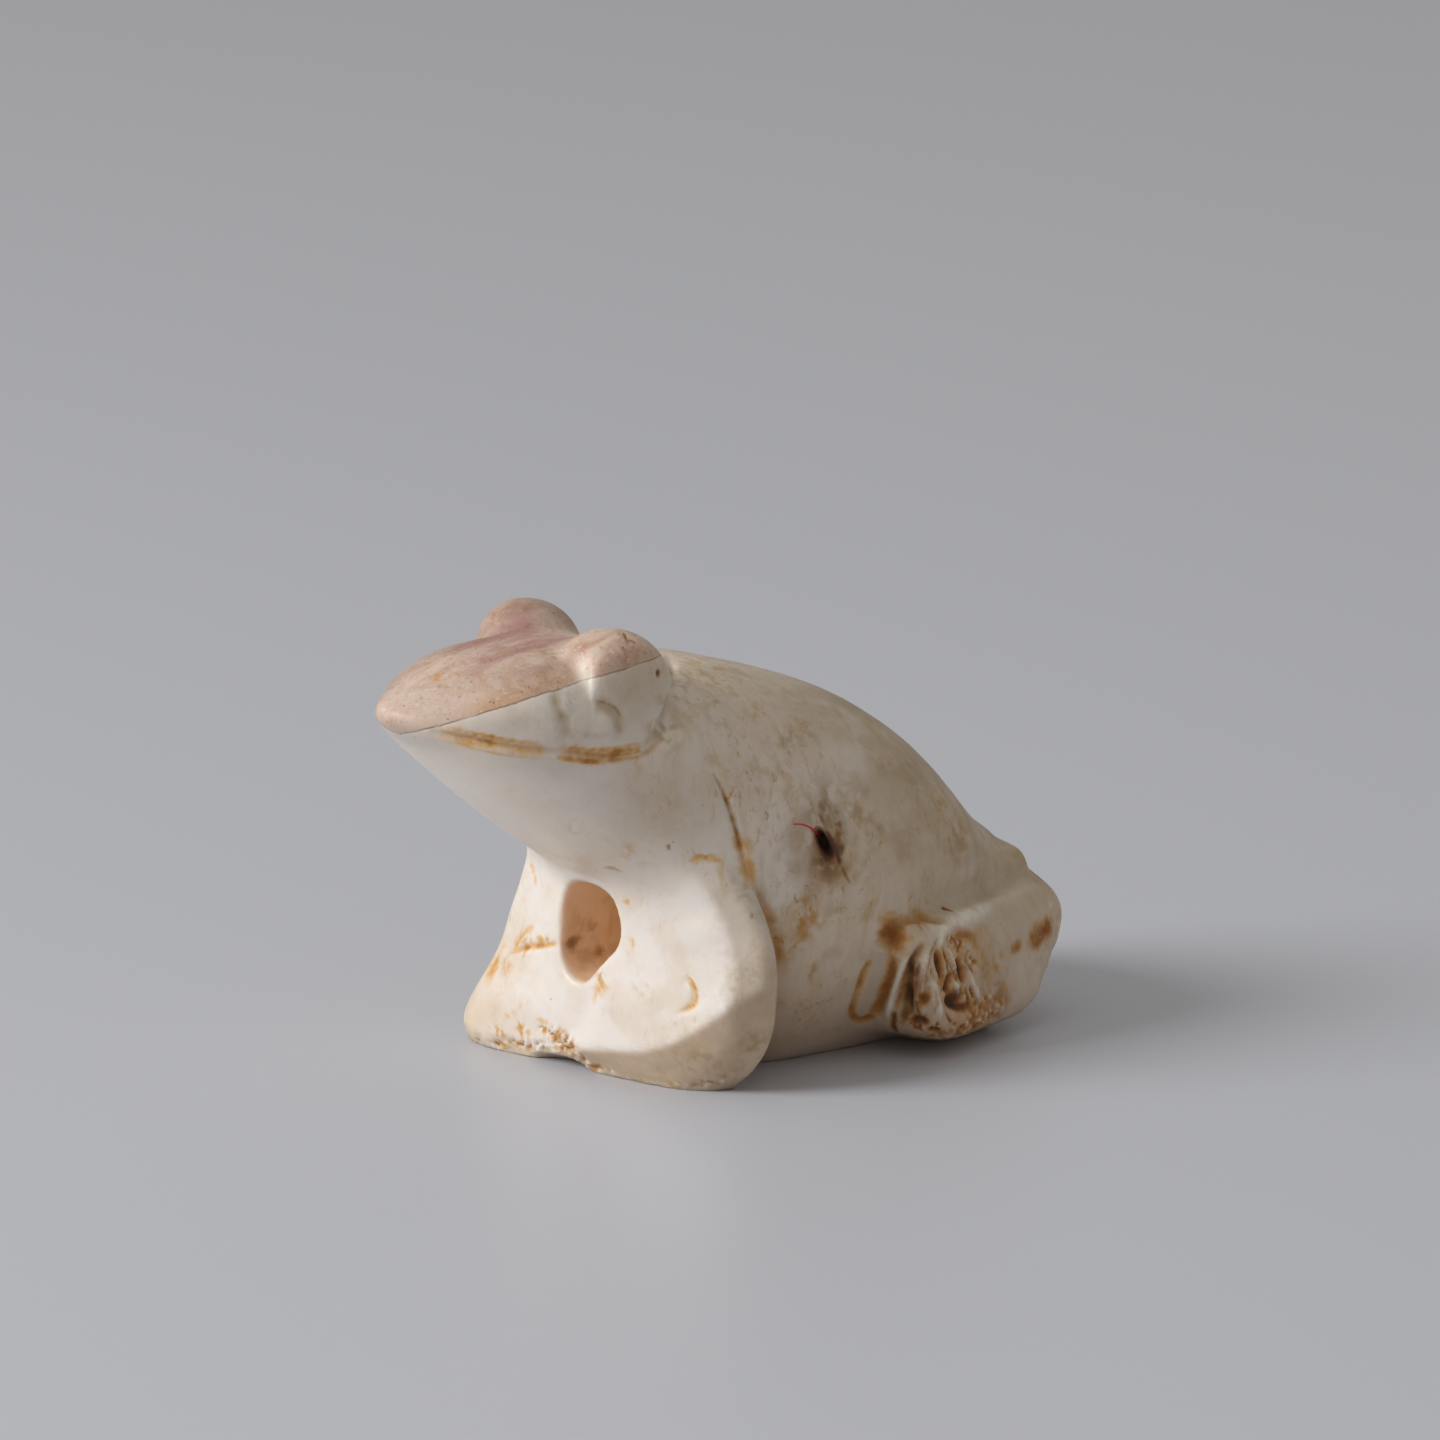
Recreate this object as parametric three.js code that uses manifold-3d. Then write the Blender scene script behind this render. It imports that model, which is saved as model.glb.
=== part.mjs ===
// A small seated frog, carved from one piece of shell.
// Millimetres, +Z up. The frog looks along -Y and its left side is +X. The origin is the middle of the bounding box, on the table.
import * as THREE from "three";
import { mergeVertices } from "three/addons/utils/BufferGeometryUtils.js";
import Module from "manifold-3d";

// ---------- driving dimensions ----------
const CELL = 0.615; // facet size of the carved skin
const MIDDLE_Y = 1.76; // middle of the length, from the carver's own datum between throat and belly
const EASE_UP = 2.15; // how square a section is above its widest level
const EASE_DOWN = 2.15; // and below it
const FLAT_SNOUT = { y: -7.4, reach: 1.9, more: 0.6 }; // the top of the snout is squarer still

// Trunk and head: sections across the length. Each is [station, half width, widest level, back level, belly level].
const TRUNK = [
  [-11.5, 0.0, 13.5, 13.5, 13.5], // tip of the snout
  [-11.1, 1.08, 13.25, 13.72, 12.82],
  [-10.2, 2.1, 13.0, 14.12, 12.18],
  [-8.8, 3.1, 12.7, 14.66, 11.0],
  [-7.0, 3.75, 12.4, 14.98, 9.5], // in front of the eyes
  [-5.0, 4.1, 11.9, 15.15, 8.0],
  [-3.0, 4.6, 10.8, 14.9, 6.6], // throat
  [-1.0, 5.2, 9.6, 14.1, 4.0],
  [1.0, 5.7, 8.0, 13.8, 0.0], // chest
  [3.0, 5.95, 7.0, 13.25, -1.0],
  [6.0, 6.0, 6.0, 12.25, -1.0], // belly
  [9.0, 5.45, 5.2, 10.55, -0.7],
  [12.0, 4.35, 4.5, 7.5, -0.1],
  [14.0, 3.0, 4.0, 5.9, 1.0],
  [15.0, 0.0, 3.8, 3.8, 3.8], // rump
];

// Eyes: a boss on each side of the brow, its front and outer side cut flat.
const EYE_AT = [2.5, -4.08, 13.62];
const EYE_RADII = [2.06, 2.02, 2.02];
const EYE_ROUND = 2.08;
const EYE_FRONT = { normal: [0.2, -0.97, 0.1], point: [3.6, -5.74, 13.4] };
const EYE_SIDE = { normal: [0.95, -0.22, 0.02], point: [3.6, -5.74, 13.4] };
const FAR_EYE = { back: 0.6, inward: 0.15, up: 0.3, smaller: 0.14 }; // the right eye sits a little further back and higher
const EYE_GROOVE = { depth: 0.18, width: 0.45 };

// Forelegs: one upright plate across the chest. Each row is [level, half width on the left, half width on the right].
const FORELEG = [
  [-0.6, 4.6, 6.3],
  [0.15, 5.25, 6.82],
  [0.8, 6.05, 6.9],
  [1.7, 6.62, 6.58],
  [2.7, 6.9, 6.1],
  [3.7, 6.92, 5.68], // elbow
  [4.65, 6.75, 5.4],
  [5.7, 6.28, 4.95],
  [6.6, 5.72, 4.55],
  [7.5, 5.05, 4.15], // shoulder
  [9.0, 3.6, 3.3],
];
const FORELEG_BACK = -0.6; // back of the plate at the table
const FORELEG_ROOT = { from: -0.7, to: -2.0, thicker: 1.1 }; // toward the middle the plate runs into the trunk
const FORELEG_TOP = 8.35;
const FORELEG_BEVEL = { left: 0.42, right: 0.62 };
const HAND_FRONT = -3.35; // front of the plate at the table
const HAND_LEAN = 0.07; // how far the plate leans back, per millimetre of height
const HAND_SWEEP = 0.006; // how far the elbows sweep back
const RIGHT_HAND = 0.3; // how far the right hand stands out in front
const HAND_LOW = { level: 0.8, rise: 0.14, curve: 0.1, slope: 0.62 }; // lower facet across both hands
const CHIP = { at: [-1.2, -3.3, -0.05], radii: [1.5, 1.2, 0.42] }; // piece broken from the edge between the hands

// Hind legs: a folded block on each side. The ridge runs from the toes to the heel.
const RIDGE_FROM = [6.75, 6.6, 4.45];
const RIDGE_TO = [4.95, 13.8, 4.22];
const LEG_DEPTH = 4.5;
const HAUNCH = { out: -1.05, level: 5.6, top: 6.05, under: 3.8, front: 4.2 }; // a second fold above that ridge

const STOCK_BELOW = 0.7; // stock left below the table line until the underside is cut flat

// Opening between the forelegs: a D-shaped pocket in front of the chest.
const OPENING = { x: 0.2, z: 4.8, halfWidth: 1.44, halfHeight: 1.73, floorY: 0.4, squareRight: 2.8, squareLeft: 2.3 };
const OPENING_FLAT = { x: 0.9, z: 3.88, nx: 0.72, nz: -0.69 }; // its lower left is cut straight across

// Side pit and incised lines.
const PIT = { y: 2.43, z: 7.96, halfWidth: 0.3, halfHeight: 0.64, slant: 0.52, backward: 0.67, narrow: 0.5, depth: 1.3 };
const MOUTH = { from: -10.6, to: -4.1, half: 0.17 };
const TOES = { hub: [6.9, 4.35], feet: [5.75, 6.75, 7.75, 8.75], footZ: [1.1, 0.5, 0.45, 0.5], start: 0.28, half: 0.2 };

// ---------- small helpers ----------
const clamp = (v, a, b) => Math.min(b, Math.max(a, v));
const ease = (a, b, v) => {
  const t = clamp((v - a) / (b - a), 0, 1);
  return t * t * (3 - 2 * t);
};
const bell = (d, w) => Math.exp(-(d / w) * (d / w));
function softMin(a, b, k) {
  const h = Math.max(k - Math.abs(a - b), 0) / k;
  return Math.min(a, b) - h * h * k * 0.25;
}
const softMax = (a, b, k) => -softMin(-a, -b, k);

// A curve through given values that never overshoots them.
function through(xs, ys) {
  const n = xs.length;
  const h = [], d = [], m = new Array(n).fill(0);
  for (let i = 0; i < n - 1; i++) {
    h.push(xs[i + 1] - xs[i]);
    d.push((ys[i + 1] - ys[i]) / h[i]);
  }
  for (let i = 1; i < n - 1; i++)
    if (d[i - 1] * d[i] > 0) {
      const w1 = 2 * h[i] + h[i - 1], w2 = h[i] + 2 * h[i - 1];
      m[i] = (w1 + w2) / (w1 / d[i - 1] + w2 / d[i]);
    }
  m[0] = d[0];
  m[n - 1] = d[n - 2];
  return (v) => {
    const q = clamp(v, xs[0], xs[n - 1]);
    let i = 0;
    while (i < n - 2 && q >= xs[i + 1]) i++;
    const s = (q - xs[i]) / h[i];
    return ys[i] * (1 + 2 * s) * (1 - s) ** 2 + m[i] * h[i] * s * (1 - s) ** 2 +
      ys[i + 1] * s * s * (3 - 2 * s) + m[i + 1] * h[i] * s * s * (s - 1);
  };
}
const column = (rows, i) => rows.map((r) => r[i]);

// ---------- trunk and head ----------
const TIP = TRUNK[0][0], RUMP = TRUNK[TRUNK.length - 1][0];
const along = (y) => Math.acos(clamp(1 - (2 * (y - TIP)) / (RUMP - TIP), -1, 1)) / Math.PI; // rounds both ends
const stations = column(TRUNK, 0).map(along);
const [halfWidth, widest, back, belly] = [1, 2, 3, 4].map((i) => through(stations, column(TRUNK, i)));
function trunk(x, y, z) {
  const t = along(y), w = Math.max(halfWidth(t), 0.05), zc = widest(t), dz = z - zc;
  const h = Math.max(dz > 0 ? back(t) - zc : zc - belly(t), 0.05);
  const p = dz > 0 ? EASE_UP + FLAT_SNOUT.more * bell(y - FLAT_SNOUT.y, FLAT_SNOUT.reach) : EASE_DOWN;
  const rho = (Math.abs(x / w) ** p + Math.abs(dz / h) ** p) ** (1 / p);
  return Math.max((rho - 1) * Math.min(w, h), TIP - y, y - RUMP);
}

// ---------- eyes ----------
function side({ normal, point }, x, y, z) {
  const n = new THREE.Vector3(...normal).normalize();
  return (x - point[0]) * n.x + (y - point[1]) * n.y + (z - point[2]) * n.z;
}
function eye(x, y, z) {
  let ax = Math.abs(x), ey = y, ez = z, grow = 0;
  if (x < 0) {
    ey -= FAR_EYE.back;
    ez -= FAR_EYE.up;
    ax += FAR_EYE.inward;
    grow = FAR_EYE.smaller;
  }
  const [cx, cy, cz] = EYE_AT, [rx, ry, rz] = EYE_RADII;
  const rho = [(ax - cx) / rx, (ey - cy) / ry, (ez - cz) / rz].reduce((sum, v) => sum + Math.abs(v) ** EYE_ROUND, 0) ** (1 / EYE_ROUND);
  const cut = softMax(side(EYE_FRONT, ax, ey, ez), side(EYE_SIDE, ax, ey, ez), 0.15);
  return softMax((rho - 1) * Math.min(rx, ry, rz), cut, 0.5) + grow;
}

// ---------- forelegs ----------
const leftOut = through(column(FORELEG, 0), column(FORELEG, 1));
const rightOut = through(column(FORELEG, 0), column(FORELEG, 2));
const handFront = (x, z) => {
  const zc = softMin(softMax(z, 0, 0.4), 6.15, 1.2);
  const hand = ease(-2.4, -5.2, x) * ease(3.6, 1.2, z);
  return HAND_FRONT + HAND_LEAN * zc + HAND_SWEEP * x * x * (1 + 0.9 * zc) - RIGHT_HAND * hand;
};
function forelegs(x, y, z) {
  const ax = Math.abs(x);
  const outer = softMax((ax - (x > 0 ? leftOut(z) : rightOut(z))) * 0.9, z - FORELEG_TOP, 1.1);
  const yf = handFront(x, z);
  const low = HAND_LOW.level + HAND_LOW.rise * clamp(x + 0.8, -1.5, 9) + HAND_LOW.curve * Math.max(x - 2.5, 0) ** 2;
  let front = yf - y;
  front = softMax(front, front + HAND_LOW.slope * (low - z), 0.15); // below that level the front leans the other way
  let f = softMax(outer, front, 0.3);
  f = softMax(f, (outer + front) * Math.SQRT1_2 + (x > 0 ? FORELEG_BEVEL.left : FORELEG_BEVEL.right), 0.14 + 0.5 * ease(2.2, 0.6, z));
  const root = FORELEG_ROOT.thicker * ease(FORELEG_ROOT.from, FORELEG_ROOT.to, ax - (x > 0 ? leftOut(z) : rightOut(z)));
  return softMax(f, y - (FORELEG_BACK + root + HAND_LEAN * clamp(z, 0, 6)), 0.5);
}

// ---------- hind legs ----------
const ridge = new THREE.Vector2(RIDGE_TO[0] - RIDGE_FROM[0], RIDGE_TO[1] - RIDGE_FROM[1]);
const RIDGE_LENGTH = ridge.length();
ridge.normalize();
function legFrame(x, y) {
  const dx = Math.abs(x) - RIDGE_FROM[0], dy = y - RIDGE_FROM[1];
  return [dx * ridge.x + dy * ridge.y, dx * ridge.y - dy * ridge.x]; // along the ridge, and outward from it
}
function hindLegs(x, y, z) {
  const [s, q] = legFrame(x, y);
  const zr = RIDGE_FROM[2] + (RIDGE_TO[2] - RIDGE_FROM[2]) * clamp(s / RIDGE_LENGTH, -0.5, 1.5);
  let f = softMax(q + 0.1 * (z - zr), (z - zr) * 0.85 + q * 0.5, 0.55); // outer face and top
  f = softMax(f, s - (RIDGE_LENGTH + 0.75), 0.5); // rear end
  f = softMax(f, -(s + 1.6) * 0.9 - (z - zr) * 0.35, 1.2); // front end
  f = softMax(f, -z * 0.68 + (s - 5.47) * 0.733, 0.8); // heel lifts off the table
  f = softMax(f, -z * 0.9 + (q + 1.15) * 0.42, 0.6); // outer edge of the sole
  f = softMax(f, -z * 0.94 + (2.3 - s) * 0.34, 0.5); // toes lift
  return Math.max(f, -(q + LEG_DEPTH));
}

// The fold of the haunch, above the ridge; it ends in a step over the heel and fades forward.
function haunch(x, y, z) {
  const [s, q] = legFrame(x, y), u = q - HAUNCH.out, v = z - HAUNCH.level;
  let f = softMax(u + 0.15 * v, v * 0.85 + u * 0.5, 0.4);
  f = softMax(f, s - (RIDGE_LENGTH + 0.05), 0.25);
  f = softMax(f, z - HAUNCH.top, 0.4);
  f = softMax(f, HAUNCH.under - z, 0.5);
  return softMax(f, (HAUNCH.front - s) * 0.25, 0.8);
}

// ---------- the whole carving, negative inside ----------
function carving(x, y, z) {
  const ax = Math.abs(x);
  let f = trunk(x, y, z);
  const e = eye(x, y, z);
  const rear = clamp(0.35 + 0.35 * (y + 4) - 0.25 * (z - 13), 0, 1);
  if (ax > 1) f += rear * EYE_GROOVE.depth * bell(e - 0.05, EYE_GROOVE.width);
  f = softMin(f, e, 0.3);
  const [bx, by, bz] = CHIP.at, [br, bs, bt] = CHIP.radii;
  const chip = (1 - Math.hypot((x - bx) / br, (y - by) / bs, (z - bz) / bt)) * bt;
  const a = softMax(forelegs(x, y, z), chip, 0.12);
  const behind = ease(0.6, 1.6, y - handFront(x, z)), lower = ease(7.6, 4.4, z);
  f += behind * lower * 0.16 * bell(Math.max(a, 0), 0.9) * clamp(ax - 2, 0, 1); // trunk drawn in behind the elbows
  f = softMin(f, a, 0.95);
  const [s, q] = legFrame(x, y);
  const run = clamp((s + 0.3) / 1.2, 0, 1) * clamp((RIDGE_LENGTH + 1 - s) / 1.5, 0, 1);
  f += run * 0.28 * bell(q + 0.75 - 0.3 * (z - 4.6), 0.6) * bell(z - 5.15, 0.6); // valley above the ridge
  f = softMin(f, haunch(x, y, z), 0.3);
  return Math.max(softMin(f, hindLegs(x, y, z), 0.35), -STOCK_BELOW - z);
}

// ---------- skin: a facet net over the surface where carving() is zero ----------
function skin(field, low, high, cell) {
  const n = low.map((v, i) => Math.ceil((high[i] - v) / cell) + 1);
  const at = (i, j, k) => (i * n[1] + j) * n[2] + k;
  const value = new Float64Array(n[0] * n[1] * n[2]);
  for (let i = 0; i < n[0]; i++)
    for (let j = 0; j < n[1]; j++)
      for (let k = 0; k < n[2]; k++)
        value[at(i, j, k)] = field(low[0] + cell * i, low[1] + cell * j, low[2] + cell * k);
  const step = [at(1, 0, 0), at(0, 1, 0), at(0, 0, 1)];
  // Where two sheets would touch across a cell face, the weakest corner changes side.
  for (let turn = 0, changed = 1; changed && turn < 20; turn++) {
    changed = 0;
    for (let i = 0; i < n[0] - 1; i++)
      for (let j = 0; j < n[1] - 1; j++)
        for (let k = 0; k < n[2] - 1; k++)
          for (let a = 0; a < 3; a++) {
            const p = at(i, j, k), b = step[(a + 1) % 3], c = step[(a + 2) % 3];
            const face = [p, p + b, p + b + c, p + c], inside = face.map((q) => value[q] < 0);
            if (inside[0] !== inside[2] || inside[1] !== inside[3] || inside[0] === inside[1]) continue;
            const weakest = face.reduce((q, r) => (Math.abs(value[r]) < Math.abs(value[q]) ? r : q));
            value[weakest] = value[weakest] < 0 ? 1e-3 : -1e-3;
            changed++;
          }
  }
  const number = new Int32Array(value.length).fill(-1);
  const positions = [], indices = [];
  for (let i = 0; i < n[0] - 1; i++)
    for (let j = 0; j < n[1] - 1; j++)
      for (let k = 0; k < n[2] - 1; k++) {
        const base = at(i, j, k), sum = [0, 0, 0];
        let count = 0;
        for (let a = 0; a < 3; a++) {
          const b = (a + 1) % 3, c = (a + 2) % 3;
          for (const [u, v] of [[0, 0], [0, 1], [1, 0], [1, 1]]) {
            const p = base + u * step[b] + v * step[c];
            const v0 = value[p], v1 = value[p + step[a]];
            if (v0 < 0 === v1 < 0) continue;
            sum[a] += v0 / (v0 - v1);
            sum[b] += u;
            sum[c] += v;
            count++;
          }
        }
        if (!count) continue;
        const p = [i, j, k].map((q, a) => low[a] + cell * (q + sum[a] / count));
        for (let turn = 0; turn < 4; turn++) { // slide onto the true surface
          const f = field(...p), e = 0.02;
          const g = [0, 1, 2].map((a) => {
            const up = p.slice(), down = p.slice();
            up[a] += e;
            down[a] -= e;
            return (field(...up) - field(...down)) / (2 * e);
          });
          const gg = Math.max(g[0] ** 2 + g[1] ** 2 + g[2] ** 2, 1e-6);
          const move = clamp(f / gg, -0.4 * cell, 0.4 * cell);
          [i, j, k].forEach((q, a) => { // and stay inside this cell
            p[a] = clamp(p[a] - move * g[a], low[a] + cell * (q + 0.06), low[a] + cell * (q + 0.94));
          });
        }
        number[base] = positions.length / 3;
        positions.push(...p);
      }
  for (let i = 1; i < n[0] - 1; i++)
    for (let j = 1; j < n[1] - 1; j++)
      for (let k = 1; k < n[2] - 1; k++) {
        const base = at(i, j, k);
        for (let a = 0; a < 3; a++) {
          const v0 = value[base], v1 = value[base + step[a]];
          if (v0 < 0 === v1 < 0) continue;
          const b = step[(a + 1) % 3], c = step[(a + 2) % 3];
          const q = [number[base - b - c], number[base - c], number[base], number[base - b]];
          if (v0 >= 0) q.reverse();
          const point = (t) => new THREE.Vector3().fromArray(positions, 3 * q[t]);
          // split along the shorter diagonal
          if (point(0).distanceTo(point(2)) <= point(1).distanceTo(point(3)))
            indices.push(q[0], q[1], q[2], q[0], q[2], q[3]);
          else indices.push(q[0], q[1], q[3], q[1], q[2], q[3]);
        }
      }
  const g = new THREE.BufferGeometry();
  g.setAttribute("position", new THREE.Float32BufferAttribute(positions, 3));
  g.setIndex(indices);
  return g;
}

// ---------- joining and cutting ----------
const wasm = await Module();
wasm.setup();
function solid(geometry) {
  const g = geometry.clone();
  g.deleteAttribute("normal");
  g.deleteAttribute("uv");
  const m = mergeVertices(g, 1e-4);
  return new wasm.Manifold(new wasm.Mesh({
    numProp: 3,
    vertProperties: new Float32Array(m.attributes.position.array),
    triVerts: new Uint32Array(m.index.array),
  }));
}
function geometryOf(manifold) {
  const m = manifold.getMesh(), g = new THREE.BufferGeometry();
  g.setAttribute("position", new THREE.Float32BufferAttribute(m.vertProperties, 3));
  g.setIndex(new THREE.BufferAttribute(m.triVerts, 1));
  g.computeVertexNormals();
  return g;
}

// Where the skin is, on the side s (+1 left, -1 right), at a station and level.
function outAt(y, z, s) {
  let a = 0, b = 9;
  for (let i = 0; i < 40; i++) {
    const m = (a + b) / 2;
    if (carving(s * m, y, z) < 0) a = m;
    else b = m;
  }
  return s * a;
}
const mouthLevel = (y) => 12.42 - 0.115 * (y + 8.5) + 0.021 * Math.max(-(y + 8.5), 0) ** 2;

// A V cut that follows a curve on the skin.
function incision(points, half, steps) {
  const shape = new THREE.Shape([0, 1, 2, 3].map((i) =>
    new THREE.Vector2(half * Math.cos((i * Math.PI) / 2), half * Math.sin((i * Math.PI) / 2))));
  return new THREE.ExtrudeGeometry(shape, {
    steps,
    bevelEnabled: false,
    extrudePath: new THREE.CatmullRomCurve3(points.map((p) => new THREE.Vector3(...p))),
  });
}

const cuts = [];
// flat underside
cuts.push(new THREE.BoxGeometry(40, 60, 4).translate(0, 0, -2));
// opening between the forelegs
{
  const { x, z, halfWidth, halfHeight, squareRight, squareLeft, floorY } = OPENING;
  const edge = (u, v) => { // negative inside
    const p = u < 0 ? squareRight : squareLeft;
    const oval = ((Math.abs(u / halfWidth) ** p + Math.abs(v / halfHeight) ** p) ** (1 / p) - 1) * halfWidth;
    return softMax(oval, (u + x - OPENING_FLAT.x) * OPENING_FLAT.nx + (v + z - OPENING_FLAT.z) * OPENING_FLAT.nz, 0.25);
  };
  const outline = [];
  for (let i = 0; i < 32; i++) {
    const t = (2 * Math.PI * i) / 32;
    let near = 0, far = 3;
    for (let j = 0; j < 40; j++) {
      const r = (near + far) / 2;
      if (edge(r * Math.cos(t), r * Math.sin(t)) < 0) near = r;
      else far = r;
    }
    outline.push(new THREE.Vector2(near * Math.cos(t), near * Math.sin(t)));
  }
  const length = floorY + 6;
  cuts.push(new THREE.ExtrudeGeometry(new THREE.Shape(outline), { depth: length, steps: 1, bevelEnabled: false })
    .rotateX(Math.PI / 2) // the outline now stands upright, and its depth runs towards -Y
    .translate(x, floorY, z));
}
// pit in the left flank
{
  const x = outAt(PIT.y, PIT.z, 1), over = 0.6;
  const slope = (1 - PIT.narrow) / PIT.depth;
  cuts.push(new THREE.CylinderGeometry(1 + slope * over, PIT.narrow, PIT.depth + over, 20)
    .rotateZ(-Math.PI / 2)
    .scale(1, PIT.halfWidth, PIT.halfHeight)
    .rotateX(PIT.slant)
    .translate(over - (PIT.depth + over) / 2, 0, 0)
    .rotateZ(-PIT.backward) // it runs back as it goes in
    .translate(x, PIT.y, PIT.z));
}
for (const s of [1, -1]) {
  // mouth line
  const line = [];
  for (let i = 0; i <= 12; i++) {
    const y = MOUTH.from + ((MOUTH.to - MOUTH.from) * i) / 12, z = mouthLevel(y);
    line.push([outAt(y, z, s), y, z]);
  }
  cuts.push(incision(line, MOUTH.half, 14));
  // lines between the toes, fanning out from the ankle
  TOES.feet.forEach((footY, i) => {
    const toe = [];
    for (let j = 0; j <= 4; j++) {
      const t = TOES.start + ((1 - TOES.start) * j) / 4;
      const y = TOES.hub[0] + (footY - TOES.hub[0]) * t, z = TOES.hub[1] + (TOES.footZ[i] - TOES.hub[1]) * t;
      toe.push([outAt(y, z, s) + s * 0.02, y, z]);
    }
    cuts.push(incision(toe, TOES.half, 4));
  });
}

let body = solid(skin(carving, [-8.15, -12.9, -1.8], [8.15, 16.5, 16.9], CELL));
for (const cut of cuts) body = body.subtract(solid(cut));

// ---------- the part ----------
const shell = new THREE.MeshStandardMaterial({ color: 0xdccbb8, roughness: 0.42, metalness: 0 });
const frog = new THREE.Mesh(geometryOf(body).translate(0, -MIDDLE_Y, 0), shell);
frog.name = "frog_figurine";
const part = new THREE.Group();
part.name = "frog";
part.add(frog);
export default part;
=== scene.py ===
import math

import bpy
import numpy as np
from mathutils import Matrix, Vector


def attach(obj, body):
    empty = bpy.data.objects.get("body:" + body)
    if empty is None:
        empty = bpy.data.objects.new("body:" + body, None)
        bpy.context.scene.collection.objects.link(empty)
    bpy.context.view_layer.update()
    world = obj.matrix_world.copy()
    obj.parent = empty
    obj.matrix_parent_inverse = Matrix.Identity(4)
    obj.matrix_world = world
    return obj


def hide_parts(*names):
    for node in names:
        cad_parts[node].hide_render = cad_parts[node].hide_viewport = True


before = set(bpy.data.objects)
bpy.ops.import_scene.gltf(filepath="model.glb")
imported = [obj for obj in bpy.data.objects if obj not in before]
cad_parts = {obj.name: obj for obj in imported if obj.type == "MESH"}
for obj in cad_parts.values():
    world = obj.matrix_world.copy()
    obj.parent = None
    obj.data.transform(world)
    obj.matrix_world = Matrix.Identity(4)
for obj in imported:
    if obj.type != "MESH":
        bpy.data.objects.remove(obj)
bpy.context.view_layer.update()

# Lengths here are millimetres in the carver's datum, which lies MIDDLE_Y in front of the middle of the length.
MIDDLE_Y = 1.76
CELL = 0.155


# ---------------------------------------------------------------- helpers
def smin(a, b, k):
    h = np.maximum(k - np.abs(a - b), 0.0) / k
    return np.minimum(a, b) - h * h * k * 0.25


def smax(a, b, k):
    return -smin(-a, -b, k)


def bell(d, w):
    return np.exp(-((d / w) ** 2))


def step(a, b, v):
    t = np.clip((v - a) / (b - a), 0.0, 1.0)
    return t * t * (3 - 2 * t)


def unit(v):
    v = np.array(v, float)
    return v / np.linalg.norm(v)


def through(xs, ys):
    x, y = np.asarray(xs, float), np.asarray(ys, float)
    h = np.diff(x)
    d = np.diff(y) / h
    m = np.zeros(len(x))
    for i in range(1, len(x) - 1):
        if d[i - 1] * d[i] > 0:
            w1, w2 = 2 * h[i] + h[i - 1], h[i] + 2 * h[i - 1]
            m[i] = (w1 + w2) / (w1 / d[i - 1] + w2 / d[i])
    m[0], m[-1] = d[0], d[-1]

    def f(q):
        q = np.clip(q, x[0], x[-1])
        i = np.clip(np.searchsorted(x, q, side="right") - 1, 0, len(x) - 2)
        s = (q - x[i]) / h[i]
        return (
            y[i] * (1 + 2 * s) * (1 - s) ** 2
            + m[i] * h[i] * s * (1 - s) ** 2
            + y[i + 1] * s * s * (3 - 2 * s)
            + m[i + 1] * h[i] * s * s * (s - 1)
        )

    return f


LATTICE = np.random.default_rng(41).random((32, 32, 32)).astype(np.float32) * 2 - 1


def noise(P, size, shift=0.0):
    """Smooth noise from -1 to 1 with bumps about size wide."""
    q = P / size + shift
    i = np.floor(q).astype(int)
    t = q - i
    t = t * t * (3 - 2 * t)
    i &= 31
    j = (i + 1) & 31
    out = 0.0
    for a in (0, 1):
        for b in (0, 1):
            for c in (0, 1):
                w = (
                    (t[:, 0] if a else 1 - t[:, 0])
                    * (t[:, 1] if b else 1 - t[:, 1])
                    * (t[:, 2] if c else 1 - t[:, 2])
                )
                out = out + w * LATTICE[
                    (j if a else i)[:, 0], (j if b else i)[:, 1], (j if c else i)[:, 2]
                ]
    return out


def fbm(P, size, turns=3, shift=0.0):
    out, amp = 0.0, 1.0
    for k in range(turns):
        out = out + amp * noise(P, size * 0.5**k, shift + 7.3 * k)
        amp *= 0.5
    return out / 1.75


# ---------------------------------------------------------------- the carving
#        y      w     zc    top    bottom
TRUNK = np.array([
    (-11.5, 0.0, 13.5, 13.5, 13.5),
    (-11.1, 1.08, 13.25, 13.72, 12.82),
    (-10.2, 2.1, 13.0, 14.12, 12.18),
    (-8.8, 3.1, 12.7, 14.66, 11.0),
    (-7.0, 3.75, 12.4, 14.98, 9.5),
    (-5.0, 4.1, 11.9, 15.15, 8.0),
    (-3.0, 4.6, 10.8, 14.9, 6.6),
    (-1.0, 5.2, 9.6, 14.1, 4.0),
    (1.0, 5.7, 8.0, 13.8, 0.0),
    (3.0, 5.95, 7.0, 13.25, -1.0),
    (6.0, 6.0, 6.0, 12.25, -1.0),
    (9.0, 5.45, 5.2, 10.55, -0.7),
    (12.0, 4.35, 4.5, 7.5, -0.1),
    (14.0, 3.0, 4.0, 5.9, 1.0),
    (15.0, 0.0, 3.8, 3.8, 3.8),
])
TIP, RUMP = TRUNK[0, 0], TRUNK[-1, 0]


def along(y):
    return np.arccos(np.clip(1 - 2 * (y - TIP) / (RUMP - TIP), -1, 1)) / np.pi


SECTION = [through(along(TRUNK[:, 0]), TRUNK[:, i]) for i in range(1, 5)]


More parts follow.
